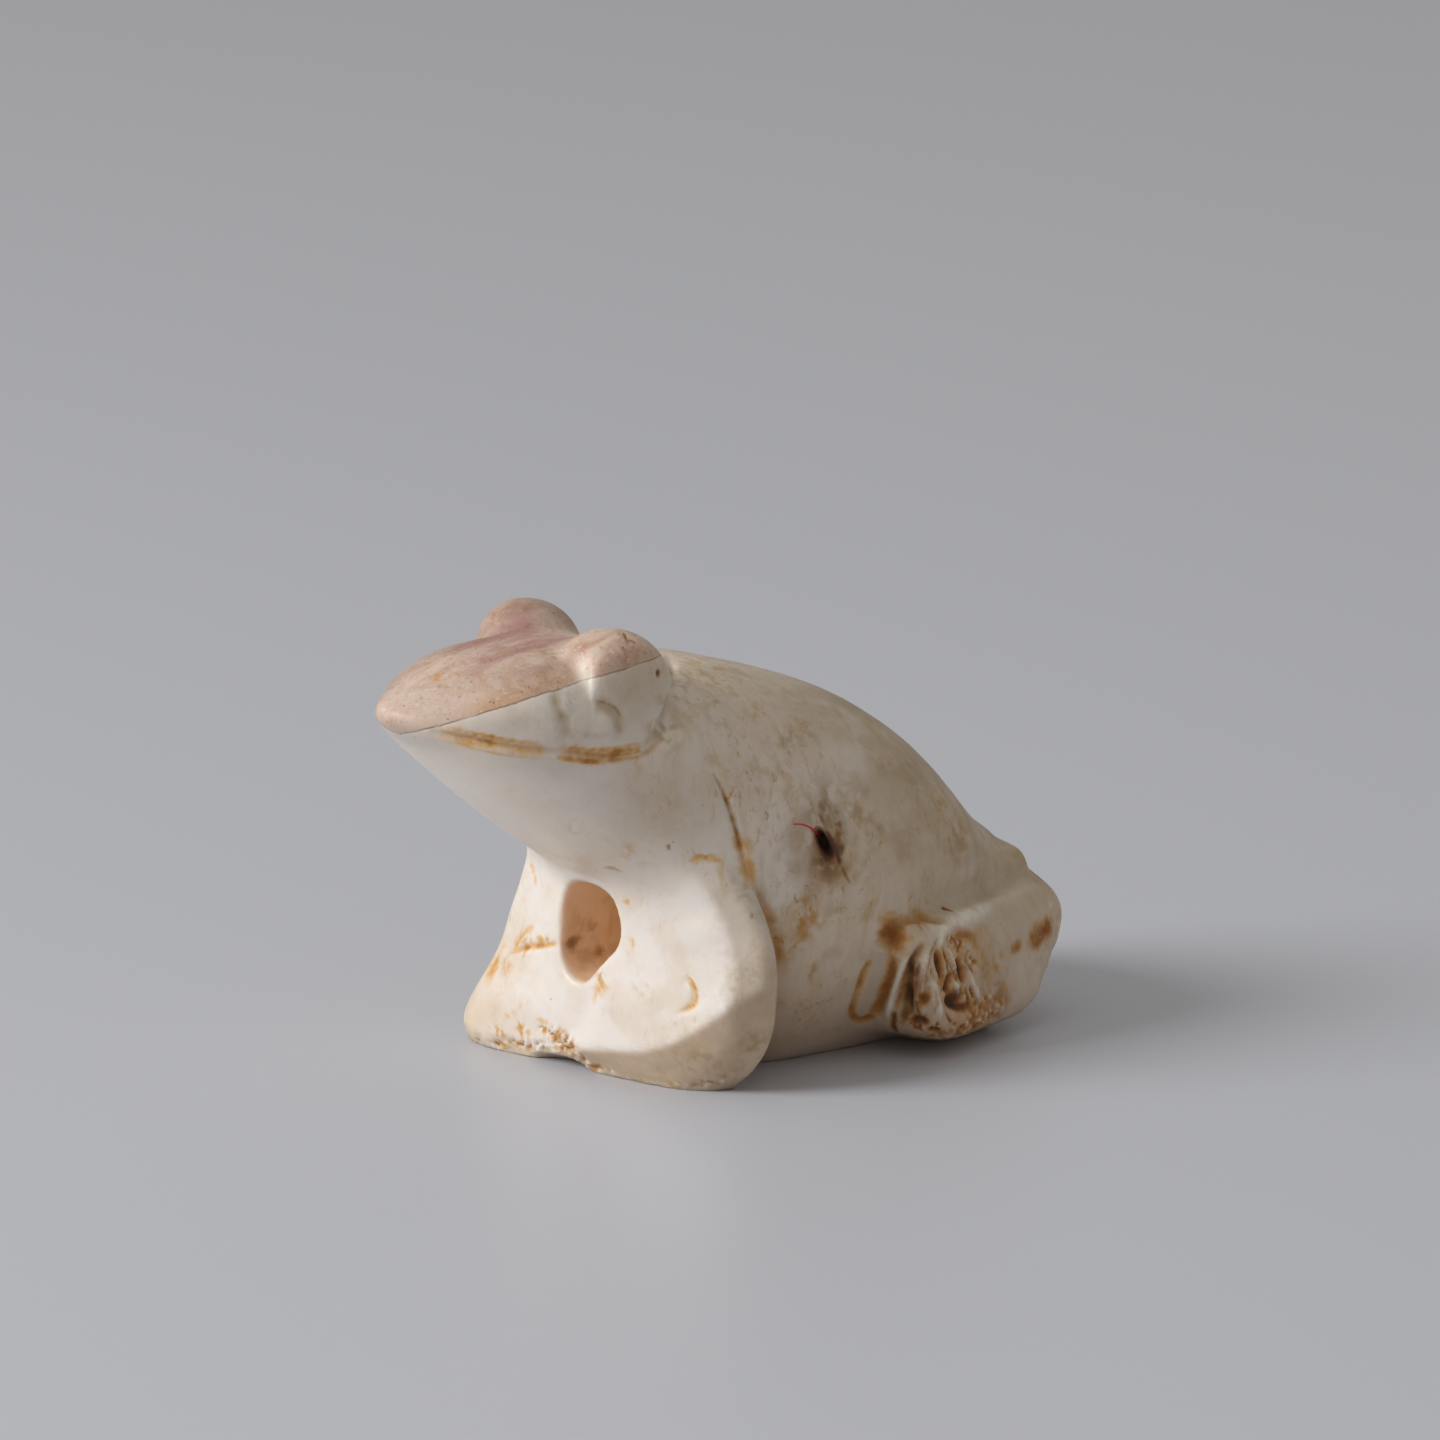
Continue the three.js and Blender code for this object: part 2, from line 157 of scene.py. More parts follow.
def trunk(x, y, z):
    w, zc, zt, zb = [c(along(y)) for c in SECTION]
    w, dz, p = np.maximum(w, 0.05), z - zc, 2.15 + 0.6 * bell(y + 7.4, 1.9) * (z > zc)
    h = np.where(dz > 0, np.maximum(zt - zc, 0.05), np.maximum(zc - zb, 0.05))
    rho = (np.abs(x / w) ** p + np.abs(dz / h) ** p) ** (1 / p)
    return np.maximum((rho - 1) * np.minimum(w, h), np.maximum(TIP - y, y - RUMP))


EYE_AT, EYE_RADII = (2.5, -4.08, 13.62), (2.06, 2.02, 2.02)
EYE_FRONT = (unit((0.20, -0.97, 0.10)), (3.6, -5.74, 13.4))
EYE_SIDE = (unit((0.95, -0.22, 0.02)), (3.6, -5.74, 13.4))


def facet(x, y, z, plane):
    n, p = plane
    return (x - p[0]) * n[0] + (y - p[1]) * n[1] + (z - p[2]) * n[2]


def eye(x, y, z):
    far = x < 0
    y, z, ax = y - np.where(far, 0.6, 0.0), z - np.where(far, 0.3, 0.0), np.abs(x) + np.where(far, 0.15, 0.0)
    e = sum(np.abs((v - c) / r) ** 2.08 for v, c, r in zip((ax, y, z), EYE_AT, EYE_RADII)) ** (1 / 2.08)
    e = (e - 1) * min(EYE_RADII)
    cut = smax(facet(ax, y, z, EYE_FRONT), facet(ax, y, z, EYE_SIDE), 0.1)
    return smax(e, cut, 0.5) + np.where(far, 0.14, 0.0)


#         z    left  right
FORELEG = np.array([
    (-0.6, 4.6, 6.3), (0.15, 5.25, 6.82), (0.8, 6.05, 6.9), (1.7, 6.62, 6.58), (2.7, 6.9, 6.1), (3.7, 6.92, 5.68),
    (4.65, 6.75, 5.4), (5.7, 6.28, 4.95), (6.6, 5.72, 4.55), (7.5, 5.05, 4.15), (9.0, 3.6, 3.3),
])
LEFT_OUT, RIGHT_OUT = through(FORELEG[:, 0], FORELEG[:, 1]), through(FORELEG[:, 0], FORELEG[:, 2])


def hand_front(x, z):
    zc = smin(smax(z, 0, 0.4), 6.15, 1.2)
    hand = step(-2.4, -5.2, x) * step(3.6, 1.2, z)
    return -3.35 + 0.07 * zc + 0.006 * x * x * (1 + 0.9 * zc) - 0.3 * hand


def forelegs(x, y, z):
    ax = np.abs(x)
    outer = smax((ax - np.where(x > 0, LEFT_OUT(z), RIGHT_OUT(z))) * 0.9, z - 8.35, 1.1)
    yf = hand_front(x, z)
    low = 0.8 + 0.14 * np.clip(x + 0.8, -1.5, 9) + 0.1 * np.maximum(x - 2.5, 0) ** 2
    front = yf - y
    front = smax(front, front + 0.62 * (low - z), 0.12)
    f = smax(outer, front, 0.25)
    f = smax(f, (outer + front) * 0.7071 + np.where(x > 0, 0.42, 0.62), 0.14 + 0.5 * step(2.2, 0.6, z))
    root = 1.1 * step(-0.7, -2.0, ax - np.where(x > 0, LEFT_OUT(z), RIGHT_OUT(z)))  # toward the middle the plate runs into the trunk
    return smax(f, y - (-0.6 + root + 0.07 * np.clip(z, 0, 6)), 0.5)


RIDGE_A, RIDGE_B = np.array([6.75, 6.6, 4.45]), np.array([4.95, 13.8, 4.22])
RIDGE_L = float(np.hypot(*(RIDGE_B - RIDGE_A)[:2]))
RIDGE_D = (RIDGE_B - RIDGE_A)[:2] / RIDGE_L


def leg_frame(x, y):
    dx, dy = np.abs(x) - RIDGE_A[0], y - RIDGE_A[1]
    return dx * RIDGE_D[0] + dy * RIDGE_D[1], dx * RIDGE_D[1] - dy * RIDGE_D[0]


def hind_legs(x, y, z):
    s, q = leg_frame(x, y)
    zr = RIDGE_A[2] + (RIDGE_B[2] - RIDGE_A[2]) * np.clip(s / RIDGE_L, -0.5, 1.5)
    f = smax(q + 0.1 * (z - zr), (z - zr) * 0.85 + q * 0.5, 0.55)
    f = smax(f, s - (RIDGE_L + 0.75), 0.45)
    f = smax(f, -(s + 1.6) * 0.9 - (z - zr) * 0.35, 1.2)
    f = smax(f, -z * 0.68 + (s - 5.47) * 0.733, 0.8)
    f = smax(f, -z * 0.9 + (q + 1.15) * 0.42, 0.6)
    f = smax(f, -z * 0.94 + (2.3 - s) * 0.34, 0.5)
    return np.maximum(f, -(q + 4.5))


def haunch(s, q, z):
    """A second fold above the ridge of the hind leg, which fades forward."""
    u, v = q + 1.05, z - 5.6
    f = smax(u + 0.15 * v, v * 0.85 + u * 0.5, 0.4)
    f = smax(f, s - (RIDGE_L + 0.05), 0.25)
    f = smax(f, z - 6.05, 0.4)
    f = smax(f, 3.8 - z, 0.5)
    return smax(f, (4.2 - s) * 0.25, 0.8)


OPENING = dict(x=0.2, z=4.8, w=1.44, h=1.73, floor=0.4)
PIT = dict(y=2.43, z=7.96, depth=0.95)
PIT_MOUTH = (0.24, 0.62)


def opening(x, y, z):
    u, v = (x - OPENING["x"]) / OPENING["w"], (z - OPENING["z"]) / OPENING["h"]
    p = np.where(u < 0, 2.8, 2.3)  # squarer on its right side
    r = ((np.abs(u) ** p + np.abs(v) ** p) ** (1 / p) - 1) * OPENING["w"]
    r = smax(r, (x - 0.9) * 0.72 - (z - 3.88) * 0.69, 0.25)  # and cut across at the lower left
    return smax(r, y - OPENING["floor"], 0.5)


def pit(x, y, z):
    """A slanted oval pit in the left flank that narrows inward."""
    dy, dz = y - PIT["y"] - 0.8 * np.clip(5.85 - x, -1, PIT["depth"]), z - PIT["z"]
    a, b = dy * 0.86 + dz * 0.51, dz * 0.86 - dy * 0.51
    r = np.sqrt((a / PIT_MOUTH[0]) ** 2 + (b / PIT_MOUTH[1]) ** 2)
    narrow = np.clip((6.0 - x) / PIT["depth"], 0, 1)
    return smax((r - 1 + 0.55 * narrow) * 0.34, (6.0 - PIT["depth"]) - x, 0.2)


def body(x, y, z):
    """The carving with no opening or flat underside; negative inside."""
    f, e, ax = trunk(x, y, z), eye(x, y, z), np.abs(x)
    rear = np.clip(0.35 + 0.35 * (y + 4) - 0.25 * (z - 13), 0, 1)
    f = f + rear * 0.18 * bell(e - 0.05, 0.45) * (ax > 1)
    f = smin(f, e, 0.3)
    a = forelegs(x, y, z)
    chip = np.sqrt(((x + 1.2) / 1.5) ** 2 + ((y + 3.3) / 1.2) ** 2 + ((z + 0.05) / 0.42) ** 2)
    a = smax(a, (1 - chip) * 0.42, 0.12)  # a piece broken from the edge between the hands
    behind, lower = step(0.6, 1.6, y - hand_front(x, z)), step(7.6, 4.4, z)
    f = f + behind * lower * 0.28 * bell(np.maximum(a, 0), 0.7) * np.clip(ax - 2, 0, 1)
    f = smin(f, a, 0.6 - 0.3 * behind * lower)
    s, q = leg_frame(x, y)
    run = np.clip((s + 0.3) / 1.2, 0, 1) * np.clip((RIDGE_L + 1 - s) / 1.5, 0, 1)
    f = f + run * 0.28 * bell(q + 0.75 - 0.3 * (z - 4.6), 0.6) * bell(z - 5.15, 0.6)
    f = smin(f, haunch(s, q, z), 0.3)
    return smin(f, hind_legs(x, y, z), 0.35)


def carving(P):
    x, y, z = P[:, 0], P[:, 1], P[:, 2]
    f = body(x, y, z)
    f = smax(f, -opening(x, y, z), 0.16)
    f = smax(f, -pit(x, y, z), 0.4)
    return smax(f, -z, 0.04)


# ---------------------------------------------------------------- skin
def skin(field, low, high, h, coarse=4):
    low = np.array(low, float)
    n = np.ceil((np.array(high) - low) / h / coarse).astype(int) * coarse + 1
    c = [np.arange((k - 1) // coarse + 1) for k in n]
    H = h * coarse
    G = np.stack(np.meshgrid(*c, indexing="ij"), -1).reshape(-1, 3)
    F0 = field(low + H * G).reshape([len(v) for v in c])

    def corners(A, fn):
        out = None
        for i in (0, 1):
            for j in (0, 1):
                for k in (0, 1):
                    a = A[i : A.shape[0] - 1 + i, j : A.shape[1] - 1 + j, k : A.shape[2] - 1 + k]
                    out = a.copy() if out is None else fn(out, a)
        return out

    near = (corners(F0, np.minimum) < 1.2 * H) & (corners(F0, np.maximum) > -1.2 * H)
    F = np.full(n, 1e3, np.float32)
    side = np.where(corners(F0, np.add) > 0, 1e3, -1e3).astype(np.float32)
    F[:-1, :-1, :-1] = side.repeat(coarse, 0).repeat(coarse, 1).repeat(coarse, 2)
    need, A = np.zeros(n, bool), np.argwhere(near)
    for i in range(coarse + 1):
        for j in range(coarse + 1):
            for k in range(coarse + 1):
                need[A[:, 0] * coarse + i, A[:, 1] * coarse + j, A[:, 2] * coarse + k] = True
    I = np.argwhere(need)
    F[need] = np.concatenate([field(low + h * I[a : a + 150000]) for a in range(0, len(I), 150000)])

    for _ in range(8):  # where two sheets would touch across a cell face, the weakest corner changes side
        changed = 0
        for ax in range(3):
            b, c = (ax + 1) % 3, (ax + 2) % 3
            cut = [slice(None)] * 3
            quad = []
            for db, dc in ((0, 0), (1, 0), (1, 1), (0, 1)):
                cut[b], cut[c] = slice(db, n[b] - 1 + db), slice(dc, n[c] - 1 + dc)
                quad.append(F[tuple(cut)] < 0)
            for p in np.argwhere((quad[0] == quad[2]) & (quad[1] == quad[3]) & (quad[0] != quad[1])):
                face = []
                for db, dc in ((0, 0), (1, 0), (1, 1), (0, 1)):
                    q = p.copy()
                    q[b] += db
                    q[c] += dc
                    face.append(tuple(q))
                q = min(face, key=lambda q: abs(F[q]))
                F[q] = -1e-3 if F[q] >= 0 else 1e-3
                changed += 1
        if not changed:
            break

    cell = np.zeros(n - 1, np.int32)
    sums = np.zeros((*(n - 1), 3), np.float32)
    crossings = []
    for ax in range(3):
        s0, s1 = [slice(None)] * 3, [slice(None)] * 3
        s0[ax], s1[ax] = slice(0, -1), slice(1, None)
        a, b = F[tuple(s0)], F[tuple(s1)]
        at = np.argwhere((a < 0) != (b < 0))
        fa, fb = a[tuple(at.T)], b[tuple(at.T)]
        pos = at.astype(np.float32)
        pos[:, ax] += fa / (fa - fb)
        crossings.append((at, fa < 0))
        o1, o2 = [k for k in range(3) if k != ax]
        for d1 in (0, 1):
            for d2 in (0, 1):
                q = at.copy()
                q[:, o1] -= d1
                q[:, o2] -= d2
                ok = (q >= 0).all(1) & (q < n - 1).all(1)
                np.add.at(cell, tuple(q[ok].T), 1)
                np.add.at(sums, tuple(q[ok].T), pos[ok])
    has = cell > 0
    index = np.full(cell.shape, -1, np.int64)
    index[has] = np.arange(has.sum())
    V = low + h * (sums[has] / cell[has][:, None]).astype(float)
    corner = low + h * np.argwhere(has)
    quads = []
    for ax, (at, inside) in enumerate(crossings):
        o1, o2 = (ax + 1) % 3, (ax + 2) % 3
        ok = (at[:, o1] > 0) & (at[:, o2] > 0) & (at[:, o1] < n[o1] - 1) & (at[:, o2] < n[o2] - 1)
        at, inside = at[ok], inside[ok]

        def vertex(d1, d2):
            q = at.copy()
            q[:, o1] -= d1
            q[:, o2] -= d2
            return index[tuple(q.T)]

        q = np.stack([vertex(1, 1), vertex(0, 1), vertex(0, 0), vertex(1, 0)], 1)
        q[~inside] = q[~inside][:, ::-1]
        quads.append(q)
    for _ in range(3):
        V, N = slide(V, field, h)
        V = np.clip(V, corner + 0.04 * h, corner + 0.96 * h)
    return V, np.concatenate(quads), N


def gradient(field, V, e):
    g = np.empty_like(V)
    for a in range(3):
        d = np.zeros(3)
        d[a] = e
        g[:, a] = (field(V + d) - field(V - d)) / (2 * e)
    return g


def slide(V, field, h):
    f, g = field(V), gradient(field, V, 0.1 * h)
    move = -f[:, None] * g / np.maximum((g * g).sum(1), 1e-6)[:, None]
    far = np.linalg.norm(move, axis=1)
    move *= np.minimum(1, 0.5 * h / np.maximum(far, 1e-9))[:, None]
    return V + move, g / np.maximum(np.linalg.norm(g, axis=1), 1e-9)[:, None]


V, QUADS, N = skin(carving, (-8.2, -12.6, -0.6), (8.2, 16.2, 16.6), CELL)


def triangles(V, Q):
    """Each quad split along its shorter diagonal."""
    short = np.linalg.norm(V[Q[:, 0]] - V[Q[:, 2]], axis=1) <= np.linalg.norm(V[Q[:, 1]] - V[Q[:, 3]], axis=1)
    a, b = Q[short], Q[~short]
    return np.concatenate([a[:, [0, 1, 2]], a[:, [0, 2, 3]], b[:, [0, 1, 3]], b[:, [1, 2, 3]]])


def refine(V, T, wanted):
    """Halves the edges of the wanted triangles; their neighbours are split to meet them, so the skin stays closed."""
    e = np.sort(T[:, [[0, 1], [1, 2], [2, 0]]], axis=2)
    key = e[..., 0] * len(V) + e[..., 1]
    split = np.unique(key[wanted])
    while True:
        has = np.isin(key, split)
        two = has.sum(1) == 2
        if not two.any():
            break
        split = np.union1d(split, key[two].ravel())
    mid = len(V) + np.searchsorted(split, key)
    W = (V[split // len(V)] + V[split % len(V)]) / 2
    for _ in range(3):
        W, _n = slide(W, carving, CELL / 2)
    k = has.sum(1)
    t, m = T[k == 3], mid[k == 3]
    out = [T[k == 0]]
    out += [np.stack(c, 1) for c in ((t[:, 0], m[:, 0], m[:, 2]), (m[:, 0], t[:, 1], m[:, 1]), (m[:, 2], m[:, 1], t[:, 2]), (m[:, 0], m[:, 1], m[:, 2]))]
    for i in range(3):
        one = (k == 1) & has[:, i]
        t, m = T[one], mid[one, i]
        a, b, c = t[:, i], t[:, (i + 1) % 3], t[:, (i + 2) % 3]
        out += [np.stack((a, m, c), 1), np.stack((m, b, c), 1)]
    return np.concatenate([V, W]), np.concatenate(out)

# ---------------------------------------------------------------- where the camera sees things
AZ, EL, DIST, HALF = math.radians(48.0), math.radians(12.5), 450.0, 24.0
AIM = np.array([0.76, 2.40, 11.35])
RIGHT = np.array([math.cos(AZ), math.sin(AZ), 0.0])
UP = np.array([-math.sin(EL) * math.sin(AZ), math.sin(EL) * math.cos(AZ), math.cos(EL)])
BACK = np.array([math.sin(AZ) * math.cos(EL), -math.cos(AZ) * math.cos(EL), math.sin(EL)])
SCALE = 720 / HALF


def on_skin(points):
    """Marks are placed by the frame of the picture, 1440 wide; this finds where each one lies on the carving."""
    px = np.array(points, float)
    origin = AIM + DIST * BACK
    at = AIM + ((px[:, 0] - 720) / SCALE)[:, None] * RIGHT + ((720 - px[:, 1]) / SCALE)[:, None] * UP
    d = at - origin
    d /= np.linalg.norm(d, axis=1)[:, None]
    t = np.full(len(px), DIST - 25.0)
    nearest, at = np.full(len(px), 1e9), t.copy()
    for _ in range(160):
        f = carving(origin + d * t[:, None])
        at = np.where(f < nearest, t, at)
        nearest = np.minimum(nearest, f)
        if np.abs(f).max() < 2e-5:
            break
        t = t + np.clip(f * 0.6, -1, 1)
    missed = np.abs(f) > 0.05
    P = origin + d * np.where(missed, at, t)[:, None]
    for _ in range(6 if missed.any() else 0):
        Q, _n = slide(P, carving, 1.0)
        P[missed] = Q[missed]
    return P


def mirrored(P):
    P = P * np.array([-1.0, 1, 1])
    for _ in range(6):
        P, _n = slide(P, carving, 1.0)
    return P


# finer skin where the carving has fine work: along these lines, within so many millimetres
FINE = [
    ([(430, 738), (510, 748), (640, 755)], 0.55, True),
    ([(575, 690), (620, 690), (645, 715)], 1.35, True),
    ([(560, 655), (630, 640), (668, 665)], 0.5, False),
    ([(713, 773), (735, 824), (748, 876)], 0.45, False),
    ([(822, 805), (828, 850), (840, 872)], 0.7, False),
    ([(683, 978), (693, 995), (680, 1012)], 0.45, False),
    ([(500, 1040), (545, 1040), (590, 1062)], 0.6, False),
    ([(514, 952), (562, 944)], 0.5, False),
    ([(866, 965), (862, 1012)], 0.75, True),
    ([(893, 930), (945, 922)], 0.6, True),
    ([(905, 965), (900, 1020)], 0.7, True),
    ([(935, 960), (930, 1020)], 0.8, True),
    ([(958, 965), (965, 1005)], 0.8, True),
    ([(985, 1005), (1000, 1000)], 0.6, False),
    ([(1020, 948), (1048, 928)], 0.6, False),
    ([(950, 920), (1028, 880)], 0.55, False),
]
T = triangles(V, QUADS)
middle = V[T].mean(1)
wanted = np.zeros(len(T), bool)
for points, r, both in FINE:
    line = on_skin(points)
    for P in (line, mirrored(line)) if both else (line,):
        P = np.concatenate([P[:-1] + (P[1:] - P[:-1]) * t for t in np.linspace(0, 1, 9)])
        near = np.nonzero(((middle > P.min(0) - r) & (middle < P.max(0) + r)).all(1))[0]
        wanted[near] |= (((middle[near, None] - P) ** 2).sum(2) < r * r).any(1)
V, T = refine(V, T, wanted)
N = gradient(carving, V, 0.015)
N /= np.maximum(np.linalg.norm(N, axis=1), 1e-9)[:, None]

move = np.zeros(len(V))  # inward, in mm
LAYERS = {k: np.zeros(len(V)) for k in ("ochre", "umber", "taupe", "blush", "inner", "wear_and_highlight", "painted_front_light", "cream")}


def reach(P, r):
    return np.nonzero(((V > P.min(0) - r) & (V < P.max(0) + r)).all(1))[0]


def distance(I, P):
    """Distance from vertices I to the line through P, and how far along it, from 0 to 1."""
    best, where = np.full(len(I), 1e9), np.zeros(len(I))
    seg = np.linalg.norm(np.diff(P, axis=0), axis=1)
    run = np.concatenate([[0], np.cumsum(seg)])
    for a in range(len(P) - 1):
        d = P[a + 1] - P[a]
        t = np.clip(((V[I] - P[a]) @ d) / max(d @ d, 1e-12), 0, 1)
        r = np.linalg.norm(V[I] - P[a] - t[:, None] * d, axis=1)
        nearer = r < best
        best[nearer] = r[nearer]
        where[nearer] = ((run[a] + t * seg[a]) / max(run[-1], 1e-9))[nearer]
    return best, where


def smooth_line(P, parts=6):
    out = []
    for i in range(len(P) - 1):
        p0, p1, p2, p3 = P[max(i - 1, 0)], P[i], P[i + 1], P[min(i + 2, len(P) - 1)]
        for t in np.arange(parts) / parts:
            out.append(0.5 * (2 * p1 + (p2 - p0) * t + (2 * p0 - 5 * p1 + 4 * p2 - p3) * t * t + (3 * p1 - p0 - 3 * p2 + p3) * t**3))
    return np.array(out + [P[-1]])


def mark(points, width=0.1, depth=0.0, layer=None, tint=0.8, spread=None, taper=0.25, both=False, ragged=0.35):
    """An incised or stained line. width and spread are half widths in mm, depth is inward."""
    lines = [on_skin(points)]
    if both:
        lines.append(mirrored(lines[0]))
    for k, P in enumerate(lines):
        P = smooth_line(P)
        spread_ = spread or width * 1.3
        I = reach(P, 3 * max(width, spread_))
        if not len(I):
            continue
        r, t = distance(I, P)
        r = r * (1 + ragged * fbm(V[I], 0.5, 3, 3.1))
        ends = np.clip(np.minimum(t, 1 - t) / max(taper, 1e-3), 0, 1) ** 0.6 if taper else 1.0
        move[I] += depth * (0.8 if k else 1) * bell(r, width) * ends
        for name, amount in ([(layer, tint)] if isinstance(layer, str) else layer or []):
            m = amount * (0.6 if k else 1) * bell(r, spread_) * (0.35 + 0.65 * ends)
            m = m * np.clip(1 + 0.7 * fbm(V[I], 0.35, 3, 9.0), 0, 1.4)
            LAYERS[name][I] = np.maximum(LAYERS[name][I], m)


def spot(x, y, r, squash=1.0, turn=0.0, depth=0.0, layer=None, tint=0.8, edge=1.0, both=False, ragged=0.5):
    """A dent or stain round a place in the picture: r in mm, squash its height over its width, turn in degrees."""
    c = on_skin([(x, y)])
    for k, C in enumerate([c[0]] + ([mirrored(c)[0]] if both else [])):
        I = np.nonzero(((V - C) ** 2).sum(1) < (3.2 * r * max(1, squash)) ** 2)[0]
        if not len(I):
            continue
        d = V[I] - C
        right = RIGHT * (np.array([-1, 1, 1]) if k else 1)
        u, v = d @ right, d @ np.array([0, 0, 1.0])
        a = math.radians(turn)
        u, v = u * math.cos(a) + v * math.sin(a), (v * math.cos(a) - u * math.sin(a)) / squash
        w = d @ (BACK * (np.array([-1, 1, 1]) if k else 1))
        q = np.sqrt(u * u + v * v + 0.3 * w * w) / r
        q = q * (1 + ragged * fbm(V[I], max(r * 0.8, 0.25), 3, 5.0 + x * 0.01))
        move[I] += depth * bell(q, 0.75) * (0.8 if k else 1)
        for name, amount in ([(layer, tint)] if isinstance(layer, str) else layer or []):
            m = amount * (0.6 if k else 1) * (1 - step(1 - 0.6 * edge, 1 + 0.6 * edge, q))
            LAYERS[name][I] = np.maximum(LAYERS[name][I], m)


def mottles(x, y, r, squash=1.0, turn=0.0, layer="taupe", tint=0.7, size=0.35, cover=0.0, both=False):
    """A patch of small irregular blotches that thins out toward its edge."""
    c = on_skin([(x, y)])
    for k, C in enumerate([c[0]] + ([mirrored(c)[0]] if both else [])):
        I = np.nonzero(((V - C) ** 2).sum(1) < (2.4 * r * max(1, squash)) ** 2)[0]
        d = V[I] - C
        u, v = d @ (RIGHT * (np.array([-1, 1, 1]) if k else 1)), d @ np.array([0, 0, 1.0])
        a = math.radians(turn)
        u, v = u * math.cos(a) + v * math.sin(a), (v * math.cos(a) - u * math.sin(a)) / squash
        w = d @ (BACK * (np.array([-1, 1, 1]) if k else 1))
        n = fbm(V[I] * np.array([1, 1, 0.7]), size, 4, 51.0 + x * 0.013)
        m = (0.6 if k else 1) * bell(np.sqrt(u * u + v * v + 0.3 * w * w) / r, 0.95) * step(cover - 0.08, cover + 0.3, n)
        for name, amount in [(layer, tint)] if isinstance(layer, str) else layer:
            LAYERS[name][I] = np.maximum(LAYERS[name][I], m * amount)


CHANCE = np.random.default_rng(7)


def streaks(points, count, span, width, layer, tint=1.0, both=False):
    """Thin strokes side by side along a line, each over a part of it; span is in picture units."""
    line = smooth_line(np.array([(x, y, 0.0) for x, y in points]), 5)[:, :2]
    mixed = [(layer, tint)] if isinstance(layer, str) else layer
    for _ in range(count):
        a, b = np.sort(CHANCE.random(2))
        a, b = int(a * 0.7 * len(line)), int((0.3 + 0.7 * b) * len(line))
        run = line[a : max(b, a + 3)] + np.array([0, span * (2 * CHANCE.random() - 1)])
        fade = 0.55 + 0.45 * CHANCE.random()
        mark([tuple(q) for q in run], width, 0, layer=[(name, amount * fade) for name, amount in mixed], spread=width, both=both, taper=0.4, ragged=0.3)


def crumble(points, width, depth, size=0.22, dirt=0.5, both=False):
    """A broken, crumbly band along a line: bites, grains left standing, and dirt in the bites."""
    line = on_skin(points)
    for k, P in enumerate([line, mirrored(line)] if both else [line]):
        I = reach(P, 2.5 * width)
        r, t = distance(I, smooth_line(P))
        w = bell(r * (1 + 0.4 * fbm(V[I], 0.6, 2, 2.5)), width) * (0.5 if k else 1)
        n = fbm(V[I], size, 3, 21.0 + points[0][0] * 0.01)
        move[I] += w * depth * (0.35 + 1.6 * np.clip(n, -0.5, 1.0))
        LAYERS["umber"][I] = np.maximum(LAYERS["umber"][I], w * dirt * step(0.12, 0.45, n))
        LAYERS["ochre"][I] = np.maximum(LAYERS["ochre"][I], w * dirt * 1.2 * step(0.0, 0.35, fbm(V[I], size * 1.5, 3, 33.0)))
        LAYERS["wear_and_highlight"][I] = np.maximum(LAYERS["wear_and_highlight"][I], w * 0.7 * step(-0.1, -0.4, n))


# ---------------------------------------------------------------- incised lines, chips and stains
X, Y, Z = V.T
# mouth
mark([(430, 731), (470, 740), (510, 747), (545, 750), (580, 753), (612, 758), (645, 757)], 0.13, 0.15, both=True, taper=0.15, ragged=0.15)
mark([(436, 733), (470, 740), (510, 748), (548, 752)], layer="ochre", tint=0.5, spread=0.3, both=True, ragged=0.4)
streaks([(434, 732), (470, 740), (510, 748), (552, 752)], 24, 8, 0.06, "ochre", 0.66, both=True)
streaks([(450, 735), (480, 742), (515, 750)], 9, 7, 0.045, "ochre", 0.8, both=True)
mark([(566, 752), (596, 755), (618, 754), (640, 751)], layer=[("ochre", 0.55)], spread=0.27, both=True, ragged=0.35)
streaks([(558, 752), (596, 756), (618, 755), (644, 750)], 20, 8, 0.06, [("ochre", 1.0), ("umber", 0.12)], 1.0, both=True)
mark([(436, 729), (458, 734), (480, 739)], layer="umber", tint=0.22, spread=0.05, ragged=0.3)
mark([(640, 756), (652, 748), (660, 737)], layer=[("ochre", 0.3), ("taupe", 0.5)], spread=0.12, ragged=0.4)
# cheek, hollowed a little between the growth line and the mouth
mark([(455, 735), (500, 733), (545, 731)], 0.42, 0.07, taper=0.4, ragged=0, both=True)
mark([(575, 768), (610, 772), (645, 768)], 0.25, -0.04, ragged=0, both=True)
# eye outline
mark([(668, 655), (673, 675), (671, 695), (665, 713), (655, 732), (642, 748)], 0.17, 0.15, layer=[("taupe", 0.55), ("umber", 0.06)], spread=0.2, both=True, ragged=0.5)
mottles(664, 722, 0.7, 1.7, 25, layer=[("taupe", 0.9), ("ochre", 0.25)], size=0.3, cover=-0.1, both=True)
mottles(676, 688, 0.85, 1.5, 0, layer=[("taupe", 0.85), ("ochre", 0.2)], size=0.35, cover=-0.02, both=True)
mottles(660, 690, 0.6, 1.6, 0, layer=[("taupe", 0.6)], size=0.25, cover=-0.05, both=True)
mark([(557, 652), (552, 676), (555, 702), (565, 726), (580, 742)], 0.26, 0.02, both=True, ragged=0.1)
# painted highlight: the lit front facet of the near eye and the bright line along its vertical corner
mark([(583, 660), (583, 680), (584, 704)], layer="wear_and_highlight", tint=0.75, spread=0.3, ragged=0.2, taper=0.3)
mark([(592, 668), (592, 690), (593, 722)], layer="wear_and_highlight", tint=1.0, spread=0.14, ragged=0.2, taper=0.3)
mark([(556, 692), (558, 711), (565, 728), (576, 738)], layer=[("taupe", 0.5), ("ochre", 0.16)], spread=0.2, ragged=0.8)
mottles(567, 715, 0.6, 1.4, 10, layer=[("taupe", 0.8), ("umber", 0.1)], size=0.22, cover=-0.1)
